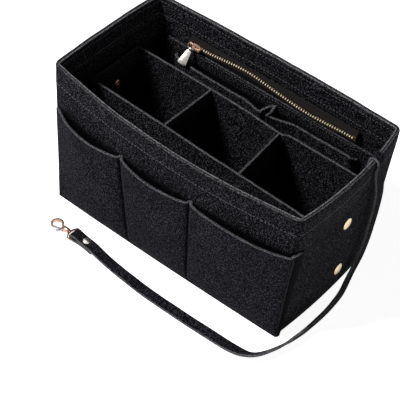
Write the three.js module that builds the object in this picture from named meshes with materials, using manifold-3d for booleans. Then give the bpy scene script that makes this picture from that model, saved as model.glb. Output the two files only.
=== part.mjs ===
// Felt purse organizer insert: a soft open box with outer pockets, a removable three cell divider held
// by snaps, a zipped pocket with two slip pockets on its front, and a key strap with a swivel hook.
// Lengths are in millimetres. X runs along the length, the front faces -Y and Z is up.
import * as THREE from 'three';
import { mergeVertices } from 'three/addons/utils/BufferGeometryUtils.js';
import Module from 'manifold-3d';

const wasm = await Module();
wasm.setup();

// Body
const rimLength = 280;
const rimDepth = 153.5;
const endLean = 2;
const sideLean = 0.75;
const baseLength = rimLength - 2 * endLean;
const baseDepth = rimDepth - 2 * sideLean;
const bodyHeight = 163;
const cornerRadius = 6;
const feltThickness = 2.5;
const hemHeight = 25;
const hemFoot = bodyHeight - hemHeight;
const seatGap = 0.3;

// How far the soft walls swell past the straight outline
const frontRimSwell = 16;
const frontBaseSwell = 1.5;
const backRimSwell = 3.5;
const backBaseSwell = 0.5;
const leftRimSwell = 7;
const rightRimSwell = 13;
const cornerReach = 4.5;
const endMiddleSwell = 4.5;
const endBaseSwell = 2;
const endFlatLow = 12;
const endFlatBelowRim = 58;
const endFlatHigh = bodyHeight - endFlatBelowRim;

// How far each corner of the rim stands above its nominal height
const frontLeftRise = 2;
const frontRightRise = -6;
const backRightRise = 3;

// Outer pockets
const pocketBelowRim = 48;
const pocketTop = bodyHeight - pocketBelowRim;
const pocketSag = 2.5;
const pocketSeamRise = 2;
const pocketEndRise = 3;
const pocketFold = 0.2;
const pocketWrapFoot = 2;
const pocketWrapTop = 9;
const frontSeamLeft = -48;
const frontSeamLeftFoot = -40;
const frontSeamRight = 35;
const frontSeamRightFoot = 34;
const backSeam = 47;
const frontOuterGape = 8;
const frontMiddleGape = 6;
const backGape = 6;

// Zip pocket
const zipBelowHem = 8;
const zipHeight = hemFoot - zipBelowHem;
const panelBelowZip = 8.6;
const zipPanelTop = zipHeight - panelBelowZip;
const zipFromRear = 6.75;
const zipPlane = rimDepth / 2 - zipFromRear;
const panelSetBack = 0.2;
const zipPanelFront = zipPlane + panelSetBack;
const panelEndRoom = 14;
const panelBendLength = 11;
const zipPanelLength = rimLength - 2 * panelEndRoom;
const zipPanelStraight = zipPanelLength - 2 * panelBendLength;
const zipStartRoom = 46;
const zipEndRoom = 38;
const zipStart = zipStartRoom - rimLength / 2;
const zipEnd = rimLength / 2 - zipEndRoom;
const toothRowHeight = 1.9;
const toothThickness = 2.2;
const rowSlot = 1.4;
const tapeThickness = 0.7;
const tapeTuck = 10;
const stopLength = 2.4;

// Divider insert
const insertBelowRim = 42;
const insertTop = bodyHeight - insertBelowRim;
const rearRoom = 30.2;
const insertRear = zipPanelFront - rearRoom;
const insertDepthLeft = 71;
const insertDepthRight = 79.5;
const insertFrontLeft = insertRear - insertDepthLeft;
const insertFrontRight = insertRear - insertDepthRight;
const cellSpacing = 88;

// Snaps
const snapCapRadius = 6.25;
const snapCapHeight = 1.9;
const snapFlangeRadius = 5;
const snapFlangeHeight = 0.8;
const snapHeadRadius = 2.3;
const snapHeadHeight = 2;
const snapPostRadius = 1.5;
const snapRingRadius = 4.5;
const snapRingHeight = 1;
const snapRingBore = 1;
const snapLow = 30;
const snapBelowTop = 29;
const snapHigh = insertTop - snapBelowTop;
const snapDepthPlace = 7.5;

// Zip slider and its pull
const sliderTravelled = 8;
const sliderPlace = zipStart + sliderTravelled;
const sliderLength = 9;
const sliderHeight = 7.2;
const sliderPlate = 1;
const sliderPost = 0.8;
const bridgeHole = 2;
const bridgeHeight = 2.4;
const bridgeBar = 1;
const ringRadius = 3.9;
const ringWire = 1.3;
const ringTurn = 6;
const tabHang = 10;
const tabLean = 45;
const tabLength = 19;
const tabTopWidth = 5;
const tabFootWidth = 10;
const tabThickness = 1.2;
const tabHoleRadius = 1.15;
const tabBarrelLength = 2.6;
const tabBarrelWall = 0.9;

// Slip pockets on the front of the zip pocket
const slipBelowPanel = 10.8;
const slipTop = zipPanelTop - slipBelowPanel;
const slipFoot = 8;
const slipLeftRoom = 30;
const slipRightRoom = 28;
const slipLeft = slipLeftRoom - rimLength / 2;
const slipSeam = 11;
const slipRight = rimLength / 2 - slipRightRoom;
const slipLeftGape = 9.5;
const slipRightGape = 4.7;

// Strap, its rivet and the swivel hook
const strapWidth = 11.4;
const strapThickness = 2.5;
const rivetRadius = 4;
const rivetDome = 2;
const rivetPostRadius = 1.2;
const rivetBaseHeight = 0.8;
const foldGap = 0.4;
const eyeWire = 1.6;
const eyeWidth = 17;
const eyeLength = 7.6;
const swivelPostRadius = 1.1;
const swivelHeadRadius = 1.7;
const swivelHeadHeight = 1.2;
const swivelGap = 0.25;
const collarRadius = 2.7;
const collarLength = 5;
const collarLip = 1.2;
const hookThickness = 3.4;
const hookRadius = 6.6;
const hookWire = 2;
const gateThickness = 1.4;
const gateWidth = 1.8;
const pinRadius = 0.7;
const thumbLength = 5;
const thumbLean = 2;

// Fine shapes: how many flats make a round, and how far a cutter runs past what it cuts
const roundSteps = 16;
const cutOverrun = 1;

const felt = new THREE.MeshStandardMaterial({ color: '#26262a', roughness: 0.95, metalness: 0 });
const innerFelt = new THREE.MeshStandardMaterial({ color: '#1e1e21', roughness: 0.95, metalness: 0 });
const tapeCloth = new THREE.MeshStandardMaterial({ color: '#3a3234', roughness: 0.85, metalness: 0 });
const gold = new THREE.MeshStandardMaterial({ color: '#d8b26a', roughness: 0.28, metalness: 1 });
const paleGold = new THREE.MeshStandardMaterial({ color: '#d9cbb8', roughness: 0.25, metalness: 1 });
const roseGold = new THREE.MeshStandardMaterial({ color: '#c08a70', roughness: 0.3, metalness: 1 });
const nickel = new THREE.MeshStandardMaterial({ color: '#8f9296', roughness: 0.3, metalness: 1 });

const organizer = new THREE.Group();

function mix(from, to, share) {
  return from + (to - from) * share;
}

function ease(share) {
  const s = Math.min(Math.max(share, 0), 1);
  return s * s * (3 - 2 * s);
}

function spread(from, to, count) {
  return Array.from({ length: count + 1 }, (_, i) => mix(from, to, i / count));
}

function addMesh(parent, name, geometry, material) {
  const mesh = new THREE.Mesh(geometry, material.clone());
  mesh.name = name;
  parent.add(mesh);
  return mesh;
}

// A ring runs up one side and back down the other, so its face fills as a ladder between the two
function faceTriangles(count) {
  return Array.from({ length: count / 2 - 1 }, (_, i) => i).flatMap((i) => [
    [i, i + 1, count - 2 - i],
    [i, count - 2 - i, count - 1 - i],
  ]);
}

// Joins rings of equal length into one closed solid with its faces pointing out
function loft(rings) {
  const count = rings[0].length;
  const points = rings.flat();
  const triangles = [];
  for (let i = 0; i + 1 < rings.length; i += 1) {
    for (let j = 0; j < count; j += 1) {
      const near = i * count + j;
      const next = i * count + (j + 1) % count;
      triangles.push([near, next, next + count], [near, next + count, near + count]);
    }
  }
  const last = (rings.length - 1) * count;
  faceTriangles(count).forEach(([a, b, c]) => {
    triangles.push([a, c, b]);
    triangles.push([last + a, last + b, last + c]);
  });
  const volume = triangles.reduce((sum, [a, b, c]) => {
    const cross = new THREE.Vector3().crossVectors(points[b], points[c]);
    return sum + points[a].dot(cross);
  }, 0);
  const index = triangles.flatMap(([a, b, c]) => (volume > 0 ? [a, b, c] : [a, c, b]));
  const flat = points.flatMap((point) => point.toArray());
  const geometry = new THREE.BufferGeometry();
  geometry.setAttribute('position', new THREE.Float32BufferAttribute(flat, 3));
  geometry.setIndex(index);
  geometry.computeVertexNormals();
  return geometry;
}

function toSolid(geometry) {
  const bare = geometry.clone();
  bare.deleteAttribute('normal');
  bare.deleteAttribute('uv');
  const merged = mergeVertices(bare);
  return new wasm.Manifold(new wasm.Mesh({
    numProp: 3,
    vertProperties: new Float32Array(merged.attributes.position.array),
    triVerts: new Uint32Array(merged.index.array),
  }));
}

function toGeometry(solid) {
  const mesh = solid.getMesh();
  const geometry = new THREE.BufferGeometry();
  geometry.setAttribute('position', new THREE.Float32BufferAttribute(mesh.vertProperties, 3));
  geometry.setIndex(Array.from(mesh.triVerts));
  geometry.computeVertexNormals();
  return geometry;
}

function cut(geometry, cutters) {
  return toGeometry(cutters.reduce((solid, cutter) => solid.subtract(toSolid(cutter)), toSolid(geometry)));
}

function join(geometries) {
  return toGeometry(geometries.map(toSolid).reduce((all, solid) => all.add(solid)));
}

function box(sizeX, sizeY, sizeZ, x, y, z) {
  return new THREE.BoxGeometry(sizeX, sizeY, sizeZ).translate(x, y, z);
}

// A plate with the given outline in X and Y, standing on z
function plate(shape, height, z) {
  const settings = { depth: height, bevelEnabled: false, curveSegments: 8 };
  return new THREE.ExtrudeGeometry(shape, settings).translate(0, 0, z);
}

// A bar along X whose outline is given in Y and Z
function barAlongX(outline, from, to) {
  const points = (x) => outline.map(([y, z]) => new THREE.Vector3(x, y, z));
  return loft([points(from), points(to)]);
}

// Turned piece on the X axis; each profile point is a place along X and a radius
function turned(profile) {
  const points = profile.map(([place, radius]) => new THREE.Vector2(radius, place));
  return new THREE.LatheGeometry(points, roundSteps).rotateZ(-Math.PI / 2);
}

// The body's outline at a height, before it swells. The share runs from corner to corner of one side,
// and its outer tenth at each end goes half way round the corner.
const straightShare = 0.9;

function outlinePoint(side, share, inset, z, corner) {
  const halfLength = mix(baseLength, rimLength, z / bodyHeight) / 2 - inset;
  const halfDepth = mix(baseDepth, rimDepth, z / bodyHeight) / 2 - inset;
  const radius = Math.max(corner - inset, seatGap);
  const isLong = side === 'front' || side === 'back';
  const run = (isLong ? halfLength : halfDepth) - radius;
  const reach = isLong ? halfDepth : halfLength;
  const cornerAngle = Math.PI / 4 - Math.asin(seatGap / 2 / radius);
  const turn = Math.max(Math.abs(share) - straightShare, 0) / (1 - straightShare) * cornerAngle;
  const straight = Math.min(Math.abs(share) / straightShare, 1) * run;
  const along = Math.sign(share) * (straight + radius * Math.sin(turn));
  const out = reach - radius + radius * Math.cos(turn);
  if (isLong) return new THREE.Vector3(along, side === 'front' ? -out : out, z);
  return new THREE.Vector3(side === 'left' ? -out : out, along, z);
}

function endSwellAt(rimSwell, z) {
  const toMiddle = ease(z / endFlatLow);
  const toRim = ease((z - endFlatHigh) / (bodyHeight - endFlatHigh));
  const line = (rimLength - mix(baseLength, rimLength, z / bodyHeight)) / 2;
  const lower = mix(endBaseSwell, endMiddleSwell, toMiddle);
  return line + mix(lower, rimSwell, toRim);
}

// The soft shape that the walls take: long sides bow, ends swell, and the rim's corners rise or drop
function settle(point) {
  const high = point.z / bodyHeight;
  const acrossX = point.x / (rimLength / 2);
  const acrossY = point.y / (rimDepth / 2);
  const frontSwell = mix(frontBaseSwell, frontRimSwell, high);
  const backSwell = mix(backBaseSwell, backRimSwell, high);
  const longSwell = point.y < 0 ? -frontSwell : backSwell;
  const endShare = Math.min(Math.abs(point.x) / (baseLength / 2 - 2 * feltThickness), 1) ** 2;
  const longShare = Math.min(Math.abs(point.y) / (baseDepth / 2 - 2 * feltThickness), 1) ** 2;
  const rimSwell = point.x < 0 ? leftRimSwell : rightRimSwell;
  const cornerSwell = cornerReach * ease(high);
  const endSwell = mix(cornerSwell, endSwellAt(rimSwell, point.z), Math.max(1 - acrossY ** 2, 0));
  const swellX = Math.sign(point.x) * endSwell * endShare;
  const swellY = longSwell * Math.max(1 - acrossX ** 2, 0) * longShare;
  const leftShare = Math.min(Math.max((1 - acrossX) / 2, 0), 1);
  const frontShare = Math.min(Math.max((1 - acrossY) / 2, 0), 1);
  const frontRise = mix(frontRightRise, frontLeftRise, leftShare);
  const backRise = mix(backRightRise, 0, leftShare);
  const rise = mix(backRise, frontRise, frontShare) * high ** 2;
  return new THREE.Vector3(point.x + swellX, point.y + swellY, point.z + rise);
}

function bodyPoint(side, share, inset, z, corner = cornerRadius) {
  return settle(outlinePoint(side, share, inset, z, corner));
}

function sideShares(straightCount) {
  const straight = spread(-straightShare, straightShare, straightCount);
  const corner = spread(straightShare, 1, 3).slice(1);
  return [...corner.map((share) => -share).reverse(), ...straight, ...corner];
}

// Walls: one felt thickness, folded double on the inside along the rim
const foldRadius = feltThickness * 0.7;
const wallLevels = [
  0, endFlatLow / 3, endFlatLow * 2 / 3, endFlatLow,
  (endFlatLow + endFlatHigh) / 2, endFlatHigh, mix(endFlatHigh, hemFoot, 0.5),
];

function wallProfile() {
  const hemDepth = 2 * feltThickness;
  const hemStep = hemFoot + feltThickness / 3;
  const hemLevels = [hemStep, mix(hemFoot, bodyHeight, 0.5), bodyHeight - foldRadius];
  const outer = [...wallLevels, hemFoot, ...hemLevels].map((z) => [0, z]);
  const fold = [[foldRadius * 0.5, bodyHeight], [hemDepth - foldRadius * 0.5, bodyHeight]];
  const hem = [...hemLevels].reverse().map((z) => [hemDepth, z]);
  const inner = [hemFoot, ...[...wallLevels].reverse()].map((z) => [feltThickness, z]);
  return [...outer, ...fold, ...hem, ...inner];
}

function wall(side, straightCount) {
  const profile = wallProfile();
  return loft(sideShares(straightCount).map(
    (share) => profile.map(([inset, z]) => bodyPoint(side, share, inset, z)),
  ));
}

// Each snap's post passes through the felt that carries it
function snapHoles(x) {
  const radius = snapPostRadius + seatGap;
  const length = feltThickness * 3;
  return [snapLow, snapHigh].map((z) => new THREE.CylinderGeometry(radius, radius, length, roundSteps)
    .rotateZ(Math.PI / 2).translate(x, snapDepthPlace, z));
}

const endOuter = rimLength / 2 + endMiddleSwell;
addMesh(organizer, 'front_wall', wall('front', 10), felt);
addMesh(organizer, 'back_wall', wall('back', 10), felt);
addMesh(organizer, 'left_wall', cut(wall('left', 6), snapHoles(feltThickness / 2 - endOuter)), felt);
addMesh(organizer, 'right_wall', cut(wall('right', 6), snapHoles(endOuter - feltThickness / 2)), felt);

function basePanel() {
  const inset = feltThickness + seatGap;
  const edge = (side, count) => sideShares(count).map((share) => bodyPoint(side, share, inset, 0));
  const loop = [
    ...edge('front', 8), ...edge('right', 4), ...edge('back', 8).reverse(), ...edge('left', 4).reverse(),
  ];
  return plate(new THREE.Shape(loop.map((p) => new THREE.Vector2(p.x, p.y))), feltThickness, 0);
}

addMesh(organizer, 'base_panel', basePanel(), felt);

// Outer pockets: one strip on each long side, sewn down at two seams and at its ends. Between seams it
// stands off the wall, most near its top edge. Its ends stop where the corners of the body begin, but the
// front strip's right end is folded sharply round the corner, further at its top than at its foot.
const pocketHeightShares = [0, 0.08, 0.3, 0.6, 0.85, 1];
const pocketBulgeShares = [0.05, 0.35, 0.75, 0.95, 1, 1];
const pocketStepShares = [0, 0.04, 0.12, 0.25, 0.4, 0.5, 0.6, 0.75, 0.88, 0.96];
const pocketEndShare = 0.863;
const cornerStepShares = [1, 1.04, 1.1];
const seamPower = 0.6;
const cornerPower = 0.95;

function seamShare(x) {
  return x / (rimLength / 2 - pocketFold) * straightShare;
}

// A share past 1 goes round the corner onto the neighbouring side
function stripPoint(side, share, stand, z) {
  if (share <= 1) return bodyPoint(side, share, -stand, z, pocketFold);
  return bodyPoint('right', (side === 'front' ? -1 : 1) * (2 - share), -stand, z, pocketFold);
}

function wrapShare(height) {
  const reach = mix(pocketWrapFoot, pocketWrapTop, height) / (rimDepth / 2 - pocketFold);
  return 2 - straightShare + reach * straightShare;
}

function pocketStrip(side, seams, gapes, wraps) {
  const ring = (shareAt, gape, step, rise, power) => {
    const open = Math.sin(Math.PI * step) ** power;
    const top = pocketTop + rise - pocketSag * Math.sin(Math.PI * step);
    const heights = pocketHeightShares.map((height) => mix(seatGap, top, height));
    const stand = pocketBulgeShares.map((bulge) => seatGap + gape * open * bulge);
    const shares = pocketHeightShares.map((height) => shareAt(height));
    const outer = heights.map((z, k) => stripPoint(side, shares[k], stand[k] + feltThickness, z));
    const inner = heights.map((z, k) => stripPoint(side, shares[k], stand[k], z)).reverse();
    return [...outer, ...inner];
  };
  const endRise = wraps ? pocketEndRise : 0;
  const seamRises = [0, ...seams.map(() => pocketSeamRise), endRise];
  const edges = [
    () => -pocketEndShare,
    ...seams.map(([top, foot]) => (height) => seamShare(mix(foot, top, height))),
    () => (wraps ? 1 : pocketEndShare),
  ];
  const between = gapes.flatMap((gape, i) => pocketStepShares.map((step) => {
    const shareAt = (height) => mix(edges[i](height), edges[i + 1](height), step);
    const from = i === 0 ? cornerPower : seamPower;
    const to = i === gapes.length - 1 ? cornerPower : seamPower;
    return ring(shareAt, gape, step, mix(seamRises[i], seamRises[i + 1], step), mix(from, to, step));
  }));
  const corner = [...cornerStepShares.map((share) => () => share), wrapShare];
  const ends = wraps ? corner : [() => pocketEndShare];
  return loft([...between, ...ends.map((shareAt) => ring(shareAt, 0, 0, endRise, 1))]);
}

const frontSeams = [[frontSeamLeft, frontSeamLeftFoot], [frontSeamRight, frontSeamRightFoot]];
const frontGapes = [frontOuterGape, frontMiddleGape, frontMiddleGape];
addMesh(organizer, 'front_pocket_strip', pocketStrip('front', frontSeams, frontGapes, true), felt);
const backSeams = [[-backSeam, -backSeam], [backSeam, backSeam]];
const backGapes = [backGape, backGape, backGape];
addMesh(organizer, 'back_pocket_strip', pocketStrip('back', backSeams, backGapes, false), felt);

// Zip pocket panel: upright felt whose ends curve back to the rear wall
const panelBack = zipPanelFront + feltThickness;
const rearWallFoot = baseDepth / 2 - feltThickness;
const panelEndBack = rearWallFoot - seatGap;

function zipPanel() {
  const bends = spread(0, 1, 4);
  const edge = bends.map((share) => [
    mix(zipPanelStraight, zipPanelLength, share) / 2,
    mix(panelBack, panelEndBack, ease(share)),
  ]);
  const right = edge.map(([x, y]) => new THREE.Vector2(x, y));
  const left = edge.map(([x, y]) => new THREE.Vector2(-x, y)).reverse();
  const back = [...left, ...right];
  const front = back.map((p) => new THREE.Vector2(p.x, p.y - feltThickness)).reverse();
  const foot = feltThickness + seatGap;
  return plate(new THREE.Shape([...front, ...back]), zipPanelTop - foot, foot);
}

addMesh(organizer, 'zip_pocket_panel', zipPanel(), innerFelt);

// Zip tapes: the upper one hangs from under the rear hem, the lower one is tucked behind the panel
const rowTop = zipHeight + rowSlot / 2 + toothRowHeight;
const rowFoot = zipHeight - rowSlot / 2 - toothRowHeight;
const sliderHalf = sliderHeight / 2;
const tapeTopPlace = rimDepth / 2 - feltThickness - tapeThickness;
const tapeLine = {
  upper: [
    [tapeTopPlace, hemFoot - seatGap],
    [zipPlane, zipHeight + sliderHalf + seatGap],
    [zipPlane, rowTop + seatGap],
  ],
  lower: [
    [zipPlane, rowFoot - seatGap],
    [zipPlane, zipHeight - sliderHalf - seatGap],
    [panelBack + seatGap + tapeThickness / 2, zipPanelTop + 2 * tapeThickness],
    [panelBack + seatGap + tapeThickness / 2, zipPanelTop - tapeTuck],
  ],
};

function tape(line) {
  const rear = line.map(([y, z]) => [y + tapeThickness / 2, z]);
  const front = line.map(([y, z]) => [y - tapeThickness / 2, z]).reverse();
  return barAlongX([...rear, ...front], zipStart - stopLength * 1.3, zipEnd + stopLength * 1.3);
}

addMesh(organizer, 'zip_tape_upper', tape(tapeLine.upper), tapeCloth);
addMesh(organizer, 'zip_tape_lower', tape(tapeLine.lower), tapeCloth);

const zipLength = zipEnd - zipStart;
const zipMiddle = (zipStart + zipEnd) / 2;
const rowOffset = (rowSlot + toothRowHeight) / 2;
const toothRow = (z) => box(zipLength, toothThickness, toothRowHeight, zipMiddle, zipPlane, z);
addMesh(organizer, 'zip_teeth_upper', toothRow(zipHeight + rowOffset), gold);
addMesh(organizer, 'zip_teeth_lower', toothRow(zipHeight - rowOffset), gold);

const stopThickness = toothThickness * 1.15;
const startStopPlace = zipStart - seatGap - stopLength / 2;
const endStopPlace = zipEnd + seatGap + stopLength / 2;
const startStop = (z) => box(stopLength, stopThickness, toothRowHeight, startStopPlace, zipPlane, z);
addMesh(organizer, 'zip_stop_upper', startStop(zipHeight + rowOffset), gold);
addMesh(organizer, 'zip_stop_lower', startStop(zipHeight - rowOffset), gold);
const endStopHeight = 2 * toothRowHeight + rowSlot;
const endStop = box(stopLength, stopThickness, endStopHeight, endStopPlace, zipPlane, zipHeight);
addMesh(organizer, 'zip_end_stop', endStop, gold);

// Slider: two plates round the teeth, a thin post between the rows and a bridge for the ring
const plateGap = toothThickness / 2 + seatGap;
const plateFace = plateGap + sliderPlate;
const bridgeFace = plateFace + bridgeHole;

function sliderPlateShape() {
  const nose = sliderHeight * 0.28;
  const halfLength = sliderLength / 2;
  const shape = new THREE.Shape();
  shape.moveTo(-halfLength, -sliderHalf);
  shape.lineTo(halfLength - nose, -sliderHalf);
  shape.lineTo(halfLength, -sliderHalf + nose);
  shape.lineTo(halfLength, sliderHalf - nose);
  shape.lineTo(halfLength - nose, sliderHalf);
  shape.lineTo(-halfLength, sliderHalf);
  shape.closePath();
  return shape;
}

function sliderGeometry() {
  const legLength = bridgeBar * 1.2;
  const legHeight = bridgeHole + bridgeBar + cutOverrun / 2;
  const legMiddle = plateFace - cutOverrun / 2 + legHeight / 2;
  const legPlace = sliderLength / 2 - legLength / 2;
  const upright = (plateZ) => plate(sliderPlateShape(), sliderPlate, plateZ).rotateX(Math.PI / 2);
  const front = upright(plateGap);
  const rear = upright(-plateFace);
  const post = box(sliderLength * 0.25, 2 * plateFace - sliderPlate, sliderPost, -sliderLength * 0.3, 0, 0);
  const leg = (x) => box(legLength, legHeight, bridgeHeight, x, -legMiddle, 0);
  const bar = box(sliderLength, bridgeBar, bridgeHeight, 0, -bridgeFace - bridgeBar / 2, 0);
  return join([front, rear, post, leg(-legPlace), leg(legPlace), bar]);
}

const slider = new THREE.Group();
slider.position.set(sliderPlace, zipPlane, zipHeight);
organizer.add(slider);
addMesh(slider, 'zip_slider', sliderGeometry(), gold);

// The ring lies at the bridge's left end, and the tab hangs from it by a barrel round the ring's wire
const pull = new THREE.Group();
const pullPlace = -sliderLength * 0.235;
pull.position.set(pullPlace, -plateFace - bridgeHole / 2, 0);
pull.rotation.z = THREE.MathUtils.degToRad(ringTurn);
slider.add(pull);

function pullRing() {
  return new THREE.TorusGeometry(ringRadius, ringWire / 2, 8, roundSteps)
    .rotateX(Math.PI / 2).translate(-ringRadius, 0, 0);
}

function pullTab() {
  const barrelRadius = tabHoleRadius + tabBarrelWall;
  const barrelHalf = tabBarrelLength / 2;
  const barrel = turned([
    [-barrelHalf, tabHoleRadius], [-barrelHalf, barrelRadius],
    [barrelHalf, barrelRadius], [barrelHalf, tabHoleRadius], [-barrelHalf, tabHoleRadius],
  ]);
  const halfTop = tabTopWidth / 2;
  const halfFoot = tabFootWidth / 2;
  const top = -tabHoleRadius - tabBarrelWall / 2;
  const foot = tabHoleRadius - tabLength;
  const chamfer = tabThickness;
  const shape = new THREE.Shape();
  shape.moveTo(-halfFoot + chamfer, foot);
  shape.lineTo(halfFoot - chamfer, foot);
  shape.lineTo(halfFoot, foot + chamfer);
  shape.lineTo(halfTop, top - chamfer);
  shape.lineTo(halfTop - chamfer / 2, top);
  shape.lineTo(chamfer / 2 - halfTop, top);
  shape.lineTo(-halfTop, top - chamfer);
  shape.lineTo(-halfFoot, foot + chamfer);
  shape.closePath();
  return join([barrel, plate(shape, tabThickness, -tabThickness / 2).rotateX(Math.PI / 2)]);
}

addMesh(pull, 'pull_ring', pullRing(), gold);
const tab = addMesh(pull, 'pull_tab', pullTab(), paleGold);
const hang = THREE.MathUtils.degToRad(tabHang);
tab.position.set(-ringRadius - ringRadius * Math.sin(hang), 0, -ringRadius * Math.cos(hang));
tab.rotation.set(THREE.MathUtils.degToRad(-tabLean), hang, 0, 'YXZ');

// Slip pockets: one strip on the panel's front, sewn at its ends and at a seam between the two pockets
function slipStrip() {
  const spans = [[slipLeft, slipSeam, slipLeftGape], [slipSeam, slipRight, slipRightGape]];
  const rings = [];
  spans.forEach(([from, to, gape], i) => {
    const steps = i === spans.length - 1 ? [...pocketStepShares, 1] : pocketStepShares;
    steps.forEach((step) => {
      const open = Math.sin(Math.PI * step) ** 0.22;
      const x = mix(from, to, step);
      const face = pocketBulgeShares.map((bulge) => zipPanelFront - seatGap - gape * open * bulge);
      const heights = pocketHeightShares.map((height) => mix(slipFoot, slipTop, height));
      const outer = heights.map((z, k) => new THREE.Vector3(x, face[k] - feltThickness, z));
      const inner = heights.map((z, k) => new THREE.Vector3(x, face[k], z)).reverse();
      rings.push([...outer, ...inner]);
    });
  });
  return loft(rings);
}

addMesh(organizer, 'slip_pocket_strip', slipStrip(), innerFelt);

// Divider insert: a long box of four walls round a floor, with two cross walls standing on the floor.
// Its rear wall is straight and its front wall comes forward a little towards the right end.
const snapStack = snapFlangeHeight + snapHeadHeight + seatGap * 4;
const insertLength = 2 * (endOuter - feltThickness - snapStack);
const insertFoot = feltThickness + seatGap;
const insertHeight = insertTop - insertFoot;
const insertTurn = Math.atan((insertFrontRight - insertFrontLeft) / insertLength);
const frontRun = insertLength / Math.cos(insertTurn);
const insertRearFace = insertRear - feltThickness;
const insert = new THREE.Group();
insert.position.z = insertFoot;
organizer.add(insert);

// The front wall's inner face at a place along the insert
function insertFrontFace(x) {
  return mix(insertFrontLeft, insertFrontRight, x / insertLength + 0.5) + feltThickness;
}

function insertWall(name, length, foot, x, y) {
  const height = insertHeight - foot;
  const mesh = addMesh(insert, name, new THREE.BoxGeometry(length, feltThickness, height), innerFelt);
  mesh.position.set(x, y, foot + height / 2);
  return mesh;
}

const frontMiddle = insertFrontFace(0) - feltThickness / 2;
insertWall('insert_front_wall', frontRun, 0, 0, frontMiddle).rotation.z = insertTurn;
insertWall('insert_rear_wall', insertLength, 0, 0, insertRear - feltThickness / 2);

function insertCrossWall(x, foot) {
  const from = insertFrontFace(x) + seatGap * 1.5;
  const to = insertRearFace - seatGap;
  const height = insertHeight - foot;
  return box(feltThickness, to - from, height, x, (from + to) / 2, foot + height / 2);
}

const crossFoot = feltThickness + seatGap;
const insertEnd = (insertLength - feltThickness) / 2;
addMesh(insert, 'insert_cross_wall_left', insertCrossWall(-cellSpacing / 2, crossFoot), innerFelt);
addMesh(insert, 'insert_cross_wall_right', insertCrossWall(cellSpacing / 2, crossFoot), innerFelt);

function insertEndWall(x) {
  return cut(insertCrossWall(x, 0).translate(0, 0, insertFoot), snapHoles(x)).translate(0, 0, -insertFoot);
}

addMesh(insert, 'insert_left_end', insertEndWall(-insertEnd), innerFelt);
addMesh(insert, 'insert_right_end', insertEndWall(insertEnd), innerFelt);

function insertFloor() {
  const end = insertLength / 2 - feltThickness - seatGap;
  const shape = new THREE.Shape();
  shape.moveTo(-end, insertFrontFace(-end) + seatGap * 1.5);
  shape.lineTo(end, insertFrontFace(end) + seatGap * 1.5);
  shape.lineTo(end, insertRearFace - seatGap);
  shape.lineTo(-end, insertRearFace - seatGap);
  shape.closePath();
  return plate(shape, feltThickness, 0);
}

addMesh(insert, 'insert_floor', insertFloor(), innerFelt);

// Snaps, built on X with 0 at the carrying felt's outer face and X pointing out of the body
function snapCap() {
  const edge = snapCapHeight * 0.45;
  return turned([
    [-feltThickness, 0], [-feltThickness, snapPostRadius], [seatGap, snapPostRadius],
    [seatGap, snapCapRadius - edge * 0.3], [seatGap + edge, snapCapRadius],
    [seatGap + snapCapHeight * 0.85, snapCapRadius * 0.7], [seatGap + snapCapHeight, 0],
  ]);
}

function snapStud() {
  const face = -feltThickness - seatGap;
  const flange = face - snapFlangeHeight;
  const head = flange - snapHeadHeight;
  return turned([
    [head, 0], [head, snapHeadRadius * 0.7], [head - (head - flange) * 0.35, snapHeadRadius],
    [flange, snapHeadRadius * 0.8], [flange, snapFlangeRadius], [face, snapFlangeRadius], [face, 0],
  ]);
}

function snapSocket() {
  const bore = snapHeadRadius + seatGap;
  const height = snapHeadHeight + seatGap;
  return turned([
    [seatGap, bore], [seatGap, snapFlangeRadius], [seatGap + height * 0.7, snapFlangeRadius],
    [seatGap + height, snapFlangeRadius * 0.8], [seatGap + height, bore], [seatGap, bore],
  ]);
}

function snapRing() {
  const face = -feltThickness - seatGap;
  return turned([
    [0, snapRingBore], [face - snapRingHeight, snapRingBore],
    [face - snapRingHeight, snapRingRadius * 0.75], [face - snapRingHeight * 0.6, snapRingRadius],
    [face, snapRingRadius], [face, snapPostRadius], [0, snapPostRadius], [0, snapRingBore],
  ]);
}

function snapGroup(side, faceX, z) {
  const group = new THREE.Group();
  group.position.set(side * faceX, snapDepthPlace, z);
  group.rotation.z = side > 0 ? 0 : Math.PI;
  organizer.add(group);
  return group;
}

[['left', -1], ['right', 1]].forEach(([sideName, side]) => {
  [['lower', snapLow], ['upper', snapHigh]].forEach(([levelName, z]) => {
    const onBody = snapGroup(side, endOuter, z);
    addMesh(onBody, `snap_cap_${sideName}_${levelName}`, snapCap(), gold);
    addMesh(onBody, `snap_stud_${sideName}_${levelName}`, snapStud(), gold);
    const onInsert = snapGroup(side, insertLength / 2, z);
    addMesh(onInsert, `snap_socket_${sideName}_${levelName}`, snapSocket(), gold);
    addMesh(onInsert, `snap_ring_${sideName}_${levelName}`, snapRing(), gold);
  });
});

// Strap: it starts at its sewn end inside the right rim, goes over the rim, hangs in a slack bow outside
// the right end, stands on its edge along the floor, leans over at the front corner until it lies flat and
// ends folded back round the eye of the hook. Each row is a point of its centre line and the way its face
// looks. Along the rim the point is given by how many hem depths and stand offs it lies inside the wall's
// outer face, then its shares of the rim's half depth and of the height. On the floor the point is given
// by its shares of the rim's half length, twice, and of the height.
const hemFace = 2 * feltThickness;
const strapStand = strapThickness / 2 + seatGap;
const rimRouteShares = [
  [1, 1.25, 0.391, 0.865, 1, 0.09, 0],
  [1, 1.25, 0.391, 0.92, 1, 0.09, 0],
  [1, 1.2, 0.391, 0.9755, 1, 0.09, 0],
  [1, 0.75, 0.391, 1.0025, 0.7, 0.06, -0.7],
  [0.5, 0, 0.393, 1.0129, 0, 0, -1],
  [0, -0.75, 0.399, 1.0018, -0.75, -0.1, -0.65],
  [0, -1.3, 0.408, 0.9724, -1, -0.12, -0.1],
];
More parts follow.
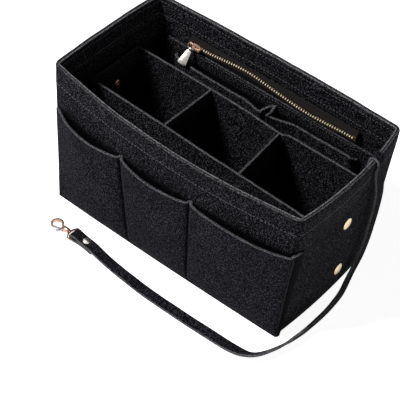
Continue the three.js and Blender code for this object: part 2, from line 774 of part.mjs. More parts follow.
const floorRouteShares = [
  [1.0957, 0.2243, 0.9049, -1, -0.1, 0],
  [1.0936, 0.2614, 0.819, -1, 0, 0],
  [1.0886, 0.31, 0.6933, -1, 0, 0],
  [1.0857, 0.3214, 0.5914, -1, 0, 0],
  [1.0829, 0.3214, 0.4877, -1, 0, 0],
  [1.08, 0.3114, 0.3663, -1, 0, 0],
  [1.0786, 0.29, 0.2601, -1, 0, 0],
  [1.0771, 0.26, 0.1816, -1, 0, -0.05],
  [1.0764, 0.2157, 0.1202, -1, -0.12, -0.1],
  [1.0814, 0.1629, 0.0748, -0.98, -0.2, -0.15],
  [1.0943, 0.1029, 0.0503, -0.97, -0.2, -0.16],
  [1.1093, 0.04, 0.0405, -0.98, -0.17, -0.1],
  [1.12, -0.0257, 0.0374, -0.99, -0.13, 0],
  [1.1264, -0.0929, 0.0374, -0.99, -0.08, 0.05],
  [1.1314, -0.1614, 0.038, -0.99, -0.04, 0.12],
  [1.1329, -0.2314, 0.038, -0.98, 0.01, 0.17],
  [1.1307, -0.3057, 0.038, -0.98, 0.04, 0.2],
  [1.1279, -0.3793, 0.038, -0.97, 0.07, 0.24],
  [1.1207, -0.4557, 0.038, -0.95, 0.12, 0.3],
  [1.1071, -0.5379, 0.038, -0.91, 0.19, 0.38],
  [1.0864, -0.625, 0.0368, -0.77, 0.3, 0.56],
  [1.0529, -0.7143, 0.035, -0.68, 0.37, 0.64],
  [1.0071, -0.79, 0.0325, -0.5, 0.42, 0.74],
  [0.9643, -0.8207, 0.0276, -0.23, 0.48, 0.85],
  [0.9093, -0.835, 0.0202, -0.04, 0.29, 0.95],
  [0.8464, -0.84, 0.0147, 0, 0.14, 0.99],
  [0.7814, -0.8429, 0.0117, 0, 0.05, 1],
  [0.65, -0.8464, 0.0101, 0, 0, 1],
  [0.4429, -0.8514, 0.0098, 0, 0, 1],
  [0.2357, -0.8521, 0.0098, 0, 0, 1],
  [0.0929, -0.8493, 0.0098, 0, 0, 1],
  [-0.0571, -0.8386, 0.0098, 0, 0, 1],
  [-0.2143, -0.8257, 0.0117, 0, 0, 1],
  [-0.3, -0.82, 0.0202, 0, 0, 1],
  [-0.3571, -0.8143, 0.0288, 0, 0, 1],
  [-0.4143, -0.8079, 0.0344, 0, 0, 1],
  [-0.5, -0.8007, 0.035, 0, 0, 1],
  [-0.5643, -0.7979, 0.0411, 0, 0, 1],
  [-0.5921, -0.7971, 0.0365, -0.8, 0, 0.6],
  [-0.5993, -0.7971, 0.0248, -1, 0, 0],
  [-0.5921, -0.7971, 0.0135, -0.8, 0, -0.6],
  [-0.5643, -0.7979, 0.0095, 0, 0, -1],
  [-0.5, -0.8007, 0.0163, 0, 0, -1],
  [-0.4429, -0.805, 0.0166, 0, 0, -1],
  [-0.3893, -0.81, 0.0129, 0, 0, -1],
];
const onRim = rimRouteShares.map(([hemShare, standShare, depthShare, heightShare, ...look]) => {
  const inset = hemShare * hemFace + standShare * strapStand;
  const share = depthShare * rimDepth / (rimDepth - 2 * cornerRadius) * straightShare;
  return [...bodyPoint('right', share, inset, heightShare * bodyHeight).toArray(), ...look];
});
const onFloor = floorRouteShares.map(([xShare, yShare, zShare, ...look]) => [
  xShare * rimLength / 2, yShare * rimLength / 2, zShare * bodyHeight, ...look,
]);
const strapRoute = [...onRim, ...onFloor];
const strapSteps = 90;

function strapRings() {
  const centre = new THREE.CatmullRomCurve3(strapRoute.map(([x, y, z]) => new THREE.Vector3(x, y, z)));
  const looks = new THREE.CatmullRomCurve3(strapRoute.map((row) => new THREE.Vector3(...row.slice(3))));
  return spread(0, 1, strapSteps).map((share) => {
    const middle = centre.getPoint(share);
    const ahead = centre.getTangent(share);
    const side = new THREE.Vector3().crossVectors(looks.getPoint(share), ahead).normalize();
    const out = new THREE.Vector3().crossVectors(ahead, side).normalize();
    const corner = (across, through) => middle.clone()
      .addScaledVector(side, across * strapWidth / 2)
      .addScaledVector(out, through * strapThickness / 2);
    return [corner(-1, -1), corner(1, -1), corner(1, 1), corner(-1, 1)];
  });
}

const placeAt = ([xShare, yShare, zShare]) => new THREE.Vector3(
  xShare * rimLength / 2, yShare * rimLength / 2, zShare * bodyHeight,
);
const rivetShares = [-0.4714, -0.8014, 0.0255];
const rivetPlace = placeAt(rivetShares);
const rivetBore = rivetPostRadius + seatGap / 2;
const rivetHole = new THREE.CylinderGeometry(rivetBore, rivetBore, 6 * strapThickness, roundSteps)
  .rotateX(Math.PI / 2).translate(...rivetPlace.toArray());
addMesh(organizer, 'strap', cut(loft(strapRings()), [rivetHole]), felt);

// Rivet: a domed cap with a post through both plies, and a flat base under them
const rivetSeat = strapThickness + foldGap / 2;
const rivet = new THREE.Group();
rivet.position.copy(rivetPlace);
rivet.rotation.y = -Math.PI / 2;
organizer.add(rivet);

function rivetCap() {
  return turned([
    [-rivetSeat, 0], [-rivetSeat, rivetPostRadius], [rivetSeat + seatGap, rivetPostRadius],
    [rivetSeat + seatGap, rivetRadius], [rivetSeat + seatGap + rivetDome * 0.55, rivetRadius * 0.86],
    [rivetSeat + seatGap + rivetDome * 0.9, rivetRadius * 0.5], [rivetSeat + seatGap + rivetDome, 0],
  ]);
}

function rivetBase() {
  const top = -rivetSeat - seatGap;
  return turned([
    [top - rivetBaseHeight, 0], [top - rivetBaseHeight, rivetRadius * 0.8],
    [top, rivetRadius * 0.8], [top, 0],
  ]);
}

addMesh(rivet, 'strap_rivet_cap', rivetCap(), paleGold);
addMesh(rivet, 'strap_rivet_base', rivetBase(), paleGold);

// Swivel hook, built with X pointing away from the strap and 0 at the middle of the eye's bar
const clasp = new THREE.Group();
const claspTurn = 182;
const claspShares = [-0.5779, -0.7979, 0.02485];
clasp.position.copy(placeAt(claspShares));
clasp.rotation.z = THREE.MathUtils.degToRad(claspTurn);
organizer.add(clasp);

const collarStart = eyeLength + seatGap;
const collarEnd = collarStart + collarLength;
const hookCentre = collarEnd + hookRadius + hookWire * 1.8;
const hookInner = hookRadius - hookWire;

function eyeOutline(inset) {
  const halfWidth = eyeWidth / 2 - inset;
  const straight = eyeLength * 0.6 - inset * 0.1;
  const neck = collarRadius * 0.7 - inset * 0.3;
  const shape = [
    [-eyeWire / 2 + inset, -halfWidth], [straight, -halfWidth],
    [eyeLength - inset, -neck], [eyeLength - inset, neck],
    [straight, halfWidth], [-eyeWire / 2 + inset, halfWidth],
  ];
  return shape.map(([x, y]) => new THREE.Vector2(x, y));
}

function swivelEye() {
  const shape = new THREE.Shape(eyeOutline(0));
  shape.holes.push(new THREE.Path(eyeOutline(eyeWire).reverse()));
  const frame = plate(shape, eyeWire, -eyeWire / 2);
  const headStart = collarStart + collarLip + swivelGap;
  const post = turned([
    [eyeLength - eyeWire / 2, 0], [eyeLength - eyeWire / 2, swivelPostRadius],
    [headStart, swivelPostRadius], [headStart, swivelHeadRadius],
    [headStart + swivelHeadHeight, swivelHeadRadius], [headStart + swivelHeadHeight, 0],
  ]);
  return join([frame, post]);
}

addMesh(clasp, 'swivel_eye', swivelEye(), roseGold);

// Hook: a turned collar, a shank and a round claw that the gate closes
const pivot = new THREE.Vector2(collarEnd + hookWire * 0.95, -hookWire * 1.1);
const clawStart = Math.PI * 0.93;
const clawEnd = -Math.PI * 0.36;

function clawPoint(radius, angle) {
  return new THREE.Vector2(hookCentre + radius * Math.cos(angle), radius * Math.sin(angle));
}

// The shank's corners as shares of the hook's wire, from the gate's pin
const shankShares = [[0.65, 1.1], [0.75, -0.3], [0.2, -0.8], [-0.6, -0.7]];

function hookShape() {
  const outer = spread(clawStart, clawEnd, 16).map((angle) => clawPoint(hookRadius, angle));
  const inner = spread(clawEnd, clawStart, 14).map((angle) => clawPoint(hookInner, angle));
  const shank = shankShares.map(([x, y]) => new THREE.Vector2(x, y).multiplyScalar(hookWire).add(pivot));
  const neck = collarEnd - collarLength * 0.25;
  const root = [
    new THREE.Vector2(neck, -collarRadius * 0.8),
    new THREE.Vector2(neck, collarRadius * 0.8),
  ];
  return new THREE.Shape([...outer, ...inner, ...shank, ...root]);
}

function pinHole(radius) {
  return new THREE.CylinderGeometry(radius, radius, hookThickness * 3, roundSteps)
    .rotateX(Math.PI / 2).translate(pivot.x, pivot.y, 0);
}

function hookBody() {
  const bore = swivelPostRadius + swivelGap;
  const cavity = swivelHeadRadius + swivelGap;
  const cavityStart = collarStart + collarLip;
  const cavityEnd = cavityStart + swivelHeadHeight + 2 * swivelGap;
  const collar = turned([
    [collarStart, bore], [collarStart, collarRadius * 0.85], [collarStart + collarLip * 0.6, collarRadius],
    [collarEnd, collarRadius], [collarEnd + collarRadius * 0.4, 0], [cavityEnd, 0], [cavityEnd, cavity],
    [cavityStart, cavity], [cavityStart, bore], [collarStart, bore],
  ]);
  const cavityRoom = turned([[cavityStart, 0], [cavityStart, cavity], [cavityEnd, cavity], [cavityEnd, 0]]);
  const body = cut(plate(hookShape(), hookThickness, -hookThickness / 2), [cavityRoom]);
  const slot = gateThickness + 2 * swivelGap;
  const slotX = pivot.x + hookWire * 0.25;
  const slotY = pivot.y - hookWire * 0.45;
  const slotBox = box(hookWire * 2.2, hookWire * 2.5, slot, slotX, slotY, 0);
  return cut(join([collar, body]), [slotBox, pinHole(pinRadius + swivelGap / 2)]);
}

// The thumb piece's corners as shares of the gate's width, from the pin; its tip also goes down by the
// length of the thumb piece and leans towards the claw
const thumbRootShares = [[-0.11, -1], [1.22, -0.94]];
const thumbTipShares = [[0.33, -0.55], [1.11, -0.4]];

function gateGeometry() {
  const tip = clawPoint(hookInner + hookWire * 0.45, clawEnd - Math.PI * 0.05);
  const away = new THREE.Vector2().subVectors(tip, pivot).normalize();
  const across = new THREE.Vector2(-away.y, away.x).multiplyScalar(gateWidth / 2);
  const corner = (base, sign) => base.clone().addScaledVector(across, sign);
  const near = ([x, y]) => new THREE.Vector2(x, y).multiplyScalar(gateWidth).add(pivot);
  const far = (shares) => near(shares).add(new THREE.Vector2(thumbLean, -thumbLength));
  const heel = pivot.clone().addScaledVector(away, -gateWidth / 2);
  const shape = new THREE.Shape([
    corner(heel, 1), corner(heel, -1),
    near(thumbRootShares[0]), far(thumbTipShares[0]), far(thumbTipShares[1]), near(thumbRootShares[1]),
    corner(tip, -1), corner(tip, 1),
  ]);
  return cut(plate(shape, gateThickness, -gateThickness / 2), [pinHole(pinRadius + swivelGap / 2)]);
}

// The hook lies turned over on its post, with its gate on the side away from the body
const hook = new THREE.Group();
hook.rotation.x = Math.PI;
clasp.add(hook);
addMesh(hook, 'hook_body', hookBody(), roseGold);
addMesh(hook, 'hook_gate', gateGeometry(), nickel);
const pin = new THREE.CylinderGeometry(pinRadius, pinRadius, hookThickness, roundSteps);
addMesh(hook, 'gate_pin', pin.rotateX(Math.PI / 2).translate(pivot.x, pivot.y, 0), nickel);

export default organizer;
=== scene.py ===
import bpy, bmesh, math
from mathutils import Matrix, Vector, noise


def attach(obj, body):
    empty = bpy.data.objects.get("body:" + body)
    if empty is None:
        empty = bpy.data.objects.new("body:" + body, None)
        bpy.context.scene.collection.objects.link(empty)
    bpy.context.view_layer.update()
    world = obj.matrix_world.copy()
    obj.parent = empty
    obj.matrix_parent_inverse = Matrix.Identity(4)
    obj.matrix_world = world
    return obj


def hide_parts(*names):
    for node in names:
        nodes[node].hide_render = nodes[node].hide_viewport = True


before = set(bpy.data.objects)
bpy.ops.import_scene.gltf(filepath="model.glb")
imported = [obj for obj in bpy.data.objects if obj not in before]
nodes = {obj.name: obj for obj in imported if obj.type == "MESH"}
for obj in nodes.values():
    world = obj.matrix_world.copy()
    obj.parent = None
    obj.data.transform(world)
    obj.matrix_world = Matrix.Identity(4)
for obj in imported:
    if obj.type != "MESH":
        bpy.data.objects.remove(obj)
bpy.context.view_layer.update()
mm = 0.001          # shapes are worked out in millimetres and made in metres
print("frame loaded,", len(nodes), "nodes")


def addObject(name, data):
    thing = bpy.data.objects.new(name, data)
    bpy.context.scene.collection.objects.link(thing)
    return thing


def meshFrom(name, bm):
    mesh = bpy.data.meshes.new(name)
    bm.to_mesh(mesh)
    bm.free()
    return mesh


def mix(a, b, share):
    return a + (b - a) * share


def ease(share):
    s = min(max(share, 0), 1)
    return s * s * (3 - 2 * s)


def spread(first, last, count):
    return [mix(first, last, i / count) for i in range(count + 1)]


# A smooth wave from -1 to 1 whose lumps are size apart. Each use has a layer, a wave of its own.
def ripple(point, size, layer=0):
    return noise.noise(Vector(point) / size + Vector((layer * 7.3, 0, layer * 3.1)))


# Camera, set from the photograph's perspective

photoCamera = {
    "azimuth": 34.35, "elevation": 45.2, "roll": 6.46, "distance": 1.5,
    "slideRight": -0.0174, "slideUp": -0.0371, "target": (0, 0, 0.08),
    "focalPixels": 1562, "photoPixels": 400, "sensor": 36,
}


def placeCamera(look):
    az, el, roll = (math.radians(look[k]) for k in ("azimuth", "elevation", "roll"))
    back = Vector((math.sin(az) * math.cos(el), -math.cos(az) * math.cos(el), math.sin(el)))
    level = Vector((math.cos(az), math.sin(az), 0))
    upright = back.cross(level)
    right = level * math.cos(roll) + upright * math.sin(roll)
    up = upright * math.cos(roll) - level * math.sin(roll)
    place = Vector(look["target"]) + back * look["distance"]
    place += right * look["slideRight"] + up * look["slideUp"]
    data = bpy.data.cameras.new("photo_camera")
    data.sensor_width = look["sensor"]
    data.lens = look["focalPixels"] / look["photoPixels"] * look["sensor"]
    camera = addObject("photo_camera", data)
    turn = Matrix((right, up, back)).transposed().to_4x4()
    camera.matrix_world = Matrix.Translation(place) @ turn
    bpy.context.scene.camera = camera


placeCamera(photoCamera)


# Materials

def linear(code):                      # sRGB hex to linear colour
    channels = [int(code[i:i + 2], 16) / 255 for i in (1, 3, 5)]
    return [c / 12.92 if c <= 0.04045 else ((c + 0.055) / 1.055) ** 2.4 for c in channels] + [1]


def addNode(tree, kind, settings=None, links=None):
    node = tree.nodes.new(kind)
    for key, value in (settings or {}).items():
        setattr(node, key, value)
    for key, value in (links or {}).items():
        if isinstance(value, bpy.types.NodeSocket):
            tree.links.new(value, node.inputs[key])
        else:
            node.inputs[key].default_value = value
    return node


def startMaterial(name):
    material = bpy.data.materials.new(name)
    material.use_nodes = True
    material.node_tree.nodes.clear()
    return material, material.node_tree


def endMaterial(tree, shader):
    addNode(tree, "ShaderNodeOutputMaterial", links={"Surface": shader.outputs["BSDF"]})


def cells(size):                       # noise scale for lumps of this size in millimetres
    return 1 / (size * mm)


# Needle-punched polyester felt: dark matted fibres with paler flecks where single fibres catch light,
# and a paler line along folds and cut edges, partly their fur and partly a painted highlight. Real fibres
# are 0.03 mm and can't show from here, so the flecks are drawn at the size of the fibre clumps, about a
# millimetre. A tone attribute on the sheets is above 0 where an edge gets this painted highlight and below
# 0 where painted shade darkens a seam, a rim's groove, a pocket's mouth or a pocket strip's folded end.
feltSkin = {"nap": 0.8, "sheen": 0.01, "sheenRoughness": 0.55, "roughness": 0.95, "specular": 0.04}


def needleFelt(name, look):
    material, tree = startMaterial(name)
    coords = addNode(tree, "ShaderNodeTexCoord").outputs["Object"]
    clump = addNode(tree, "ShaderNodeTexNoise", links={
        "Vector": coords, "Scale": cells(look["clump"]), "Detail": 1, "Roughness": 0.4, "Distortion": 0.5})
    fleck = addNode(tree, "ShaderNodeMapRange", {"interpolation_type": "SMOOTHSTEP"}, {
        "Value": clump.outputs["Fac"], "From Min": look["fleckLow"], "From Max": look["fleckHigh"]})
    stretch = addNode(tree, "ShaderNodeMapping", links={
        "Vector": coords, "Rotation": (0.5, 0.3, 0.7), "Scale": (1, 0.3, 0.35)})
    fibre = addNode(tree, "ShaderNodeTexNoise", links={
        "Vector": stretch.outputs["Vector"], "Scale": cells(look["fibre"]), "Detail": 2, "Distortion": 1.5})
    strand = addNode(tree, "ShaderNodeMapRange", {"interpolation_type": "SMOOTHSTEP"}, {
        "Value": fibre.outputs["Fac"], "From Min": 0.6, "From Max": 0.74})
    blotch = addNode(tree, "ShaderNodeTexNoise", links={
        "Vector": coords, "Scale": cells(look["blotch"]), "Detail": 2})
    paintedTone = addNode(tree, "ShaderNodeAttribute", {"attribute_name": "paintedTone"})
    ground = addNode(tree, "ShaderNodeMix", {"data_type": "RGBA"}, {
        "Factor": fleck.outputs["Result"], "A": linear(look["deep"]), "B": linear(look["pale"])})
    strands = addNode(tree, "ShaderNodeMath", {"operation": "MULTIPLY"}, {
        0: strand.outputs["Result"], 1: look["strandShare"]})
    fibred = addNode(tree, "ShaderNodeMix", {"data_type": "RGBA"}, {
        "Factor": strands.outputs["Value"], "A": ground.outputs["Result"], "B": linear(look["strand"])})
    tone = addNode(tree, "ShaderNodeMapRange", links={
        "Value": blotch.outputs["Fac"], "From Min": 0.3, "From Max": 0.7, "To Min": 0.82, "To Max": 1.18})
    # Painted shade: the colour is darkened where the tone attribute is below 0.
    paintedShade = addNode(tree, "ShaderNodeMapRange", links={
        "Value": paintedTone.outputs["Fac"], "From Min": -1, "From Max": 0})
    shaded = addNode(tree, "ShaderNodeMath", {"operation": "MULTIPLY"}, {
        0: tone.outputs["Result"], 1: paintedShade.outputs["Result"]})
    toned = addNode(tree, "ShaderNodeVectorMath", {"operation": "SCALE"}, {
        0: fibred.outputs["Result"], "Scale": shaded.outputs["Value"]})
    # Painted highlight: where the tone attribute is above 0 the colour turns to the pale edge colour,
    # broken up by the clumps' grain; partly the felt's fur.
    highlightGrain = addNode(tree, "ShaderNodeMapRange", links={
        "Value": clump.outputs["Fac"], "From Min": 0.38, "From Max": 0.62, "To Min": 0.25, "To Max": 1.5})
    furAndHighlight = addNode(tree, "ShaderNodeMath", {"operation": "MULTIPLY", "use_clamp": True}, {
        0: paintedTone.outputs["Fac"], 1: highlightGrain.outputs["Result"]})
    colour = addNode(tree, "ShaderNodeMix", {"data_type": "RGBA"}, {
        "Factor": furAndHighlight.outputs["Value"], "A": toned.outputs["Vector"], "B": linear(look["edge"])})
    height = addNode(tree, "ShaderNodeMath", {"operation": "MULTIPLY_ADD"}, {
        0: fibre.outputs["Fac"], 1: 0.5, 2: clump.outputs["Fac"]})
    bump = addNode(tree, "ShaderNodeBump", links={
        "Height": height.outputs["Value"], "Strength": 1, "Distance": feltSkin["nap"] * mm})
    shader = addNode(tree, "ShaderNodeBsdfPrincipled", links={
        "Base Color": colour.outputs["Result"], "Roughness": feltSkin["roughness"],
        "Specular IOR Level": feltSkin["specular"], "Sheen Weight": feltSkin["sheen"],
        "Sheen Roughness": feltSkin["sheenRoughness"], "Sheen Tint": linear(look["strand"]),
        "Normal": bump.outputs["Normal"]})
    endMaterial(tree, shader)
    return material


# Outer pockets, strap and base: dark, with fine flecks. In each felt, edge is the pale colour of the
# painted highlight along folds and cut edges.
outerFelt = needleFelt("outer_needle_felt", {
    "clump": 1.1, "fibre": 0.9, "blotch": 45, "fleckLow": 0.49, "fleckHigh": 0.68, "deep": "#080809",
    "pale": "#43424b", "strand": "#6e6d78", "strandShare": 0.28, "edge": "#747478"})
# The four walls: the same felt with larger, paler flecks and a brighter painted highlight on the folded
# rims
wallFelt = needleFelt("outer_wall_needle_felt", {
    "clump": 1.25, "fibre": 1, "blotch": 45, "fleckLow": 0.51, "fleckHigh": 0.68, "deep": "#050506",
    "pale": "#4a4950", "strand": "#7c7b84", "strandShare": 0.25, "edge": "#858589"})
# The insert and the pockets inside the rear wall: the darkest ground, with the coarsest flecks
innerFelt = needleFelt("inner_needle_felt", {
    "clump": 1.3, "fibre": 1, "blotch": 40, "fleckLow": 0.52, "fleckHigh": 0.68, "deep": "#030304",
    "pale": "#504f55", "strand": "#86858e", "strandShare": 0.28, "edge": "#707074"})


# Polyester zip tape: a fine twill whose ribs run along the tape, brownish black with a slight gloss.
# The real ribs are 0.3 mm apart and are drawn at 1 mm so that they show. The tone attribute that the
# sheets carry is 1 on the bare band beside the teeth, which looks browner.
def twillTape(name, look):
    material, tree = startMaterial(name)
    coords = addNode(tree, "ShaderNodeTexCoord").outputs["Object"]
    turned = addNode(tree, "ShaderNodeMapping", links={"Vector": coords, "Rotation": (0, 0.35, 0)})
    ribs = addNode(tree, "ShaderNodeTexWave", {"bands_direction": "Z"}, {
        "Vector": turned.outputs["Vector"], "Scale": 0.05 * cells(look["rib"]) * math.tau,
        "Distortion": 0.6, "Detail": 1})
    lint = addNode(tree, "ShaderNodeTexNoise", links={"Vector": coords, "Scale": cells(1.4), "Detail": 1})
    bare = addNode(tree, "ShaderNodeAttribute", {"attribute_name": "paintedTone"})
    ribbed = addNode(tree, "ShaderNodeMath", {"operation": "MULTIPLY"}, {
        0: ribs.outputs["Fac"], 1: lint.outputs["Fac"]})
    shown = addNode(tree, "ShaderNodeMapRange", links={
        "Value": bare.outputs["Fac"], "To Min": look["lint"]})
    woven = addNode(tree, "ShaderNodeMath", {"operation": "MULTIPLY"}, {
        0: ribbed.outputs["Value"], 1: shown.outputs["Result"]})
    colour = addNode(tree, "ShaderNodeMix", {"data_type": "RGBA"}, {
        "Factor": woven.outputs["Value"], "A": linear(look["deep"]), "B": linear(look["pale"])})
    bump = addNode(tree, "ShaderNodeBump", links={
        "Height": ribs.outputs["Fac"], "Strength": 0.5, "Distance": 0.15 * mm})
    shader = addNode(tree, "ShaderNodeBsdfPrincipled", links={
        "Base Color": colour.outputs["Result"], "Roughness": 0.8, "Specular IOR Level": 0.15,
        "Normal": bump.outputs["Normal"]})
    endMaterial(tree, shader)
    return material


tapeTwill = twillTape("polyester_twill_tape", {"rib": 1, "deep": "#070708", "pale": "#66564c", "lint": 0.1})


# Plated zinc and brass fittings: a bright skin with fine handling marks that soften the gloss in places
def platedMetal(name, look):
    material, tree = startMaterial(name)
    coords = addNode(tree, "ShaderNodeTexCoord").outputs["Object"]
    cloud = addNode(tree, "ShaderNodeTexNoise", links={
        "Vector": coords, "Scale": cells(look["cloud"]), "Detail": 4, "Roughness": 0.6})
    colour = addNode(tree, "ShaderNodeMix", {"data_type": "RGBA"}, {
        "Factor": cloud.outputs["Fac"], "A": linear(look["deep"]), "B": linear(look["pale"])})
    gloss = addNode(tree, "ShaderNodeMapRange", links={
        "Value": cloud.outputs["Fac"], "From Min": 0.3, "From Max": 0.7,
        "To Min": look["roughness"] * 0.8, "To Max": look["roughness"] * 1.3})
    scratch = addNode(tree, "ShaderNodeTexNoise", links={
        "Vector": coords, "Scale": cells(look["cloud"] / 6), "Detail": 2})
    bump = addNode(tree, "ShaderNodeBump", links={
        "Height": scratch.outputs["Fac"], "Strength": 0.12, "Distance": 0.05 * mm})
    shader = addNode(tree, "ShaderNodeBsdfPrincipled", links={
        "Base Color": colour.outputs["Result"], "Metallic": look.get("metallic", 1),
        "Roughness": gloss.outputs["Result"], "Normal": bump.outputs["Normal"]})
    endMaterial(tree, shader)
    return material


# Snap caps, studs and sockets, and the zip's stops: polished and pale yellow
polishedBrass = platedMetal("polished_brass", {
    "cloud": 2.5, "deep": "#cdb186", "pale": "#fbe9c8", "roughness": 0.34})
# The strap's rivet: a greyish white skin with warm highlights
antiqueBrass = platedMetal("pale_antique_plating", {
    "cloud": 2, "deep": "#c4bab0", "pale": "#f6f1ea", "roughness": 0.3})
# Zip teeth: tumbled brass, half matt, and painted far paler than the snap caps, partly brass's own colour
# and partly a painted highlight, so that each tooth stays pale in any light
toothBrass = platedMetal("tumbled_tooth_brass_painted_pale", {
    "cloud": 1.5, "deep": "#ecd6b0", "pale": "#fff3dc", "roughness": 0.35, "metallic": 0.4})
# Swivel eye and hook: polished plating, copper pink in its darks
roseGold = platedMetal("rose_gold_plating", {
    "cloud": 2.5, "deep": "#8e6656", "pale": "#e2bfae", "roughness": 0.26})
# Snap rings inside the insert: the same plating painted paler, a painted highlight for where they sit in
# shade
polishedRosePaintedPale = platedMetal("polished_rose_painted_pale", {
    "cloud": 2, "deep": "#dca486", "pale": "#ffdcc4", "roughness": 0.32})
# Zip slider and pull ring: the same pink under lacquer, which dulls the reflections, and painted paler as a
# painted highlight
lacqueredRosePaintedPale = platedMetal("lacquered_rose_painted_pale", {
    "cloud": 2, "deep": "#b98468", "pale": "#ffdcc8", "roughness": 0.3, "metallic": 0.5})
# Pull tab: satin plating, a warm grey
satinNickel = platedMetal("satin_pull_plating", {
    "cloud": 3, "deep": "#857e78", "pale": "#dcd6d0", "roughness": 0.3})
# Gate and its pin: plain nickel, a cool grey
nickelPlate = platedMetal("nickel_plating", {
    "cloud": 2.5, "deep": "#7c7f84", "pale": "#c2c5ca", "roughness": 0.28})


# Spun polyester sewing thread: a dull black twist, a little paler than the felt
def spunThread(name, colourCode):
    material, tree = startMaterial(name)
    coords = addNode(tree, "ShaderNodeTexCoord").outputs["Object"]
    twist = addNode(tree, "ShaderNodeTexNoise", links={"Vector": coords, "Scale": cells(0.5), "Detail": 2})
    tone = addNode(tree, "ShaderNodeMix", {"data_type": "RGBA"}, {
        "Factor": twist.outputs["Fac"], "A": linear("#0c0c0e"), "B": linear(colourCode)})
    bump = addNode(tree, "ShaderNodeBump", links={
        "Height": twist.outputs["Fac"], "Strength": 0.4, "Distance": 0.1 * mm})
    shader = addNode(tree, "ShaderNodeBsdfPrincipled", links={
        "Base Color": tone.outputs["Result"], "Roughness": 0.6, "Normal": bump.outputs["Normal"]})
    endMaterial(tree, shader)
    return material


sewingThread = spunThread("spun_sewing_thread", "#5e5e64")
print("materials made")


# Turning bmeshes into finished pieces

def finishPiece(name, bm, material, body, slot, standsFor=()):
    bm.transform(Matrix.Scale(mm, 4))
    mesh = meshFrom(name, bm)
    mesh.materials.append(material)
    piece = addObject(name, mesh)
    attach(piece, body)
    if standsFor:
        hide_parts(*standsFor)
    return piece


def smoothFaces(bm, sharpAngle=50):
    bm.normal_update()
    for face in bm.faces:
        face.smooth = True
    for edge in bm.edges:
        edge.smooth = len(edge.link_faces) == 2 and edge.calc_face_angle(0) < math.radians(sharpAngle)


def roundEdges(bm, edges, width, segments):
    bmesh.ops.bevel(bm, geom=edges, offset=width, offset_type="OFFSET", segments=segments, profile=0.5,
                    affect="EDGES", clamp_overlap=True, material=-1)


# A felt sheet is a grid whose points are laid on the felt's visible face, thickened behind it and
# rounded along its cut edges. place gives a point in millimetres and the tone painted there: above 0 a
# painted highlight, partly the felt's fur, and below 0 painted shade; on the zip tape it is 1 on the bare
# band. The first and last columns of a sheet that is joined meet another sheet in a seam and stay square.
feltLook = {"thickness": 2.5, "round": 0.55, "segments": 2, "backToneShare": 0.3, "rimAngle": 60}
inside = {"material": innerFelt, "slot": "inner_felt"}


def sheetGrid(across, up, place):
    bm = bmesh.new()
    columns, rows = len(across) - 1, len(up) - 1
    bmesh.ops.create_grid(bm, x_segments=columns, y_segments=rows, size=0.5)
    paintedTone = bm.verts.layers.float.new("paintedTone")
    seam = bm.verts.layers.int.new("seam")
    for vert in bm.verts:
        column = round((vert.co.x + 0.5) * columns)
        row = round((vert.co.y + 0.5) * rows)
        vert.co, vert[paintedTone] = place(column, row)
        vert[seam] = int(column in (0, columns))
    bm.normal_update()
    return bm


def sheetPiece(name, across, up, place, standsFor, body="organizer", material=outerFelt,
               slot="outer_felt", joined=False, flip=False, thickness=feltLook["thickness"],
               edgeRound=feltLook["round"], backToneShare=feltLook["backToneShare"]):
    bm = sheetGrid(across, up, place)
    if flip:
        bmesh.ops.reverse_faces(bm, faces=bm.faces[:])
        bm.normal_update()
    faceVerts = set(bm.verts)
    bmesh.ops.solidify(bm, geom=bm.faces[:], thickness=thickness)
    bm.normal_update()
    paintedTone = bm.verts.layers.float["paintedTone"]
    seam = bm.verts.layers.int["seam"]
    # The back face keeps only a share of the painted highlight and shade.
    for vert in bm.verts:
        if vert not in faceVerts:
            vert[paintedTone] *= backToneShare
    rims = [edge for edge in bm.edges if edge.calc_face_angle(0) > math.radians(feltLook["rimAngle"])
            and not (joined and edge.verts[0][seam] and edge.verts[1][seam])]
    roundEdges(bm, rims, edgeRound, feltLook["segments"])
    smoothFaces(bm)
    return finishPiece(name, bm, material, body, slot, standsFor)


def rimmed(first, last, step, rimStep=0.6):    # places from first to last with one close to each end
    count = max(1, round(abs(last - first) / step))
    way = math.copysign(rimStep, last - first)
    return [first, first + way] + spread(first, last, count)[1:-1] + [last - way, last]


# Metal fittings that keep the frame's shape: a merged copy of each, with its edges rounded

def roundedCopy(node, material, body, slot, roundness, sharpAngle=35, cutAngle=30):
    bm = bmesh.new()
    bm.from_mesh(nodes[node].data)
    bm.transform(Matrix.Scale(1 / mm, 4))
    bmesh.ops.remove_doubles(bm, verts=bm.verts[:], dist=0.002)
    bmesh.ops.dissolve_limit(bm, angle_limit=math.radians(1), verts=bm.verts[:], edges=bm.edges[:])
    bm.normal_update()
    corners = [edge for edge in bm.edges if edge.calc_face_angle(0) > math.radians(cutAngle)]
    roundEdges(bm, corners, roundness, 2)
    smoothFaces(bm, sharpAngle)
    return finishPiece(node + "_rounded", bm, material, body, slot, [node])


clasp = [
    roundedCopy("strap_rivet_cap", antiqueBrass, "organizer", "pale_gold_metal", 0.2, sharpAngle=60),
    roundedCopy("strap_rivet_base", antiqueBrass, "organizer", "pale_gold_metal", 0.15),
    roundedCopy("swivel_eye", roseGold, "swivel_eye", "rose_gold_metal", 0.3),
    roundedCopy("hook_body", roseGold, "swivel_hook", "rose_gold_metal", 0.4),
    roundedCopy("hook_gate", nickelPlate, "hook_gate", "nickel_metal", 0.3),
    roundedCopy("gate_pin", nickelPlate, "swivel_hook", "nickel_metal", 0.15),
]


# Strap: a free flat cord of felt. It starts at its sewn end inside the right rim, goes over the rim,
# hangs beside the right end, runs on its edge along the floor, leans over until it lies flat and ends
# folded back round the eye of the hook. Each row is a point of its centre line and where its face looks.

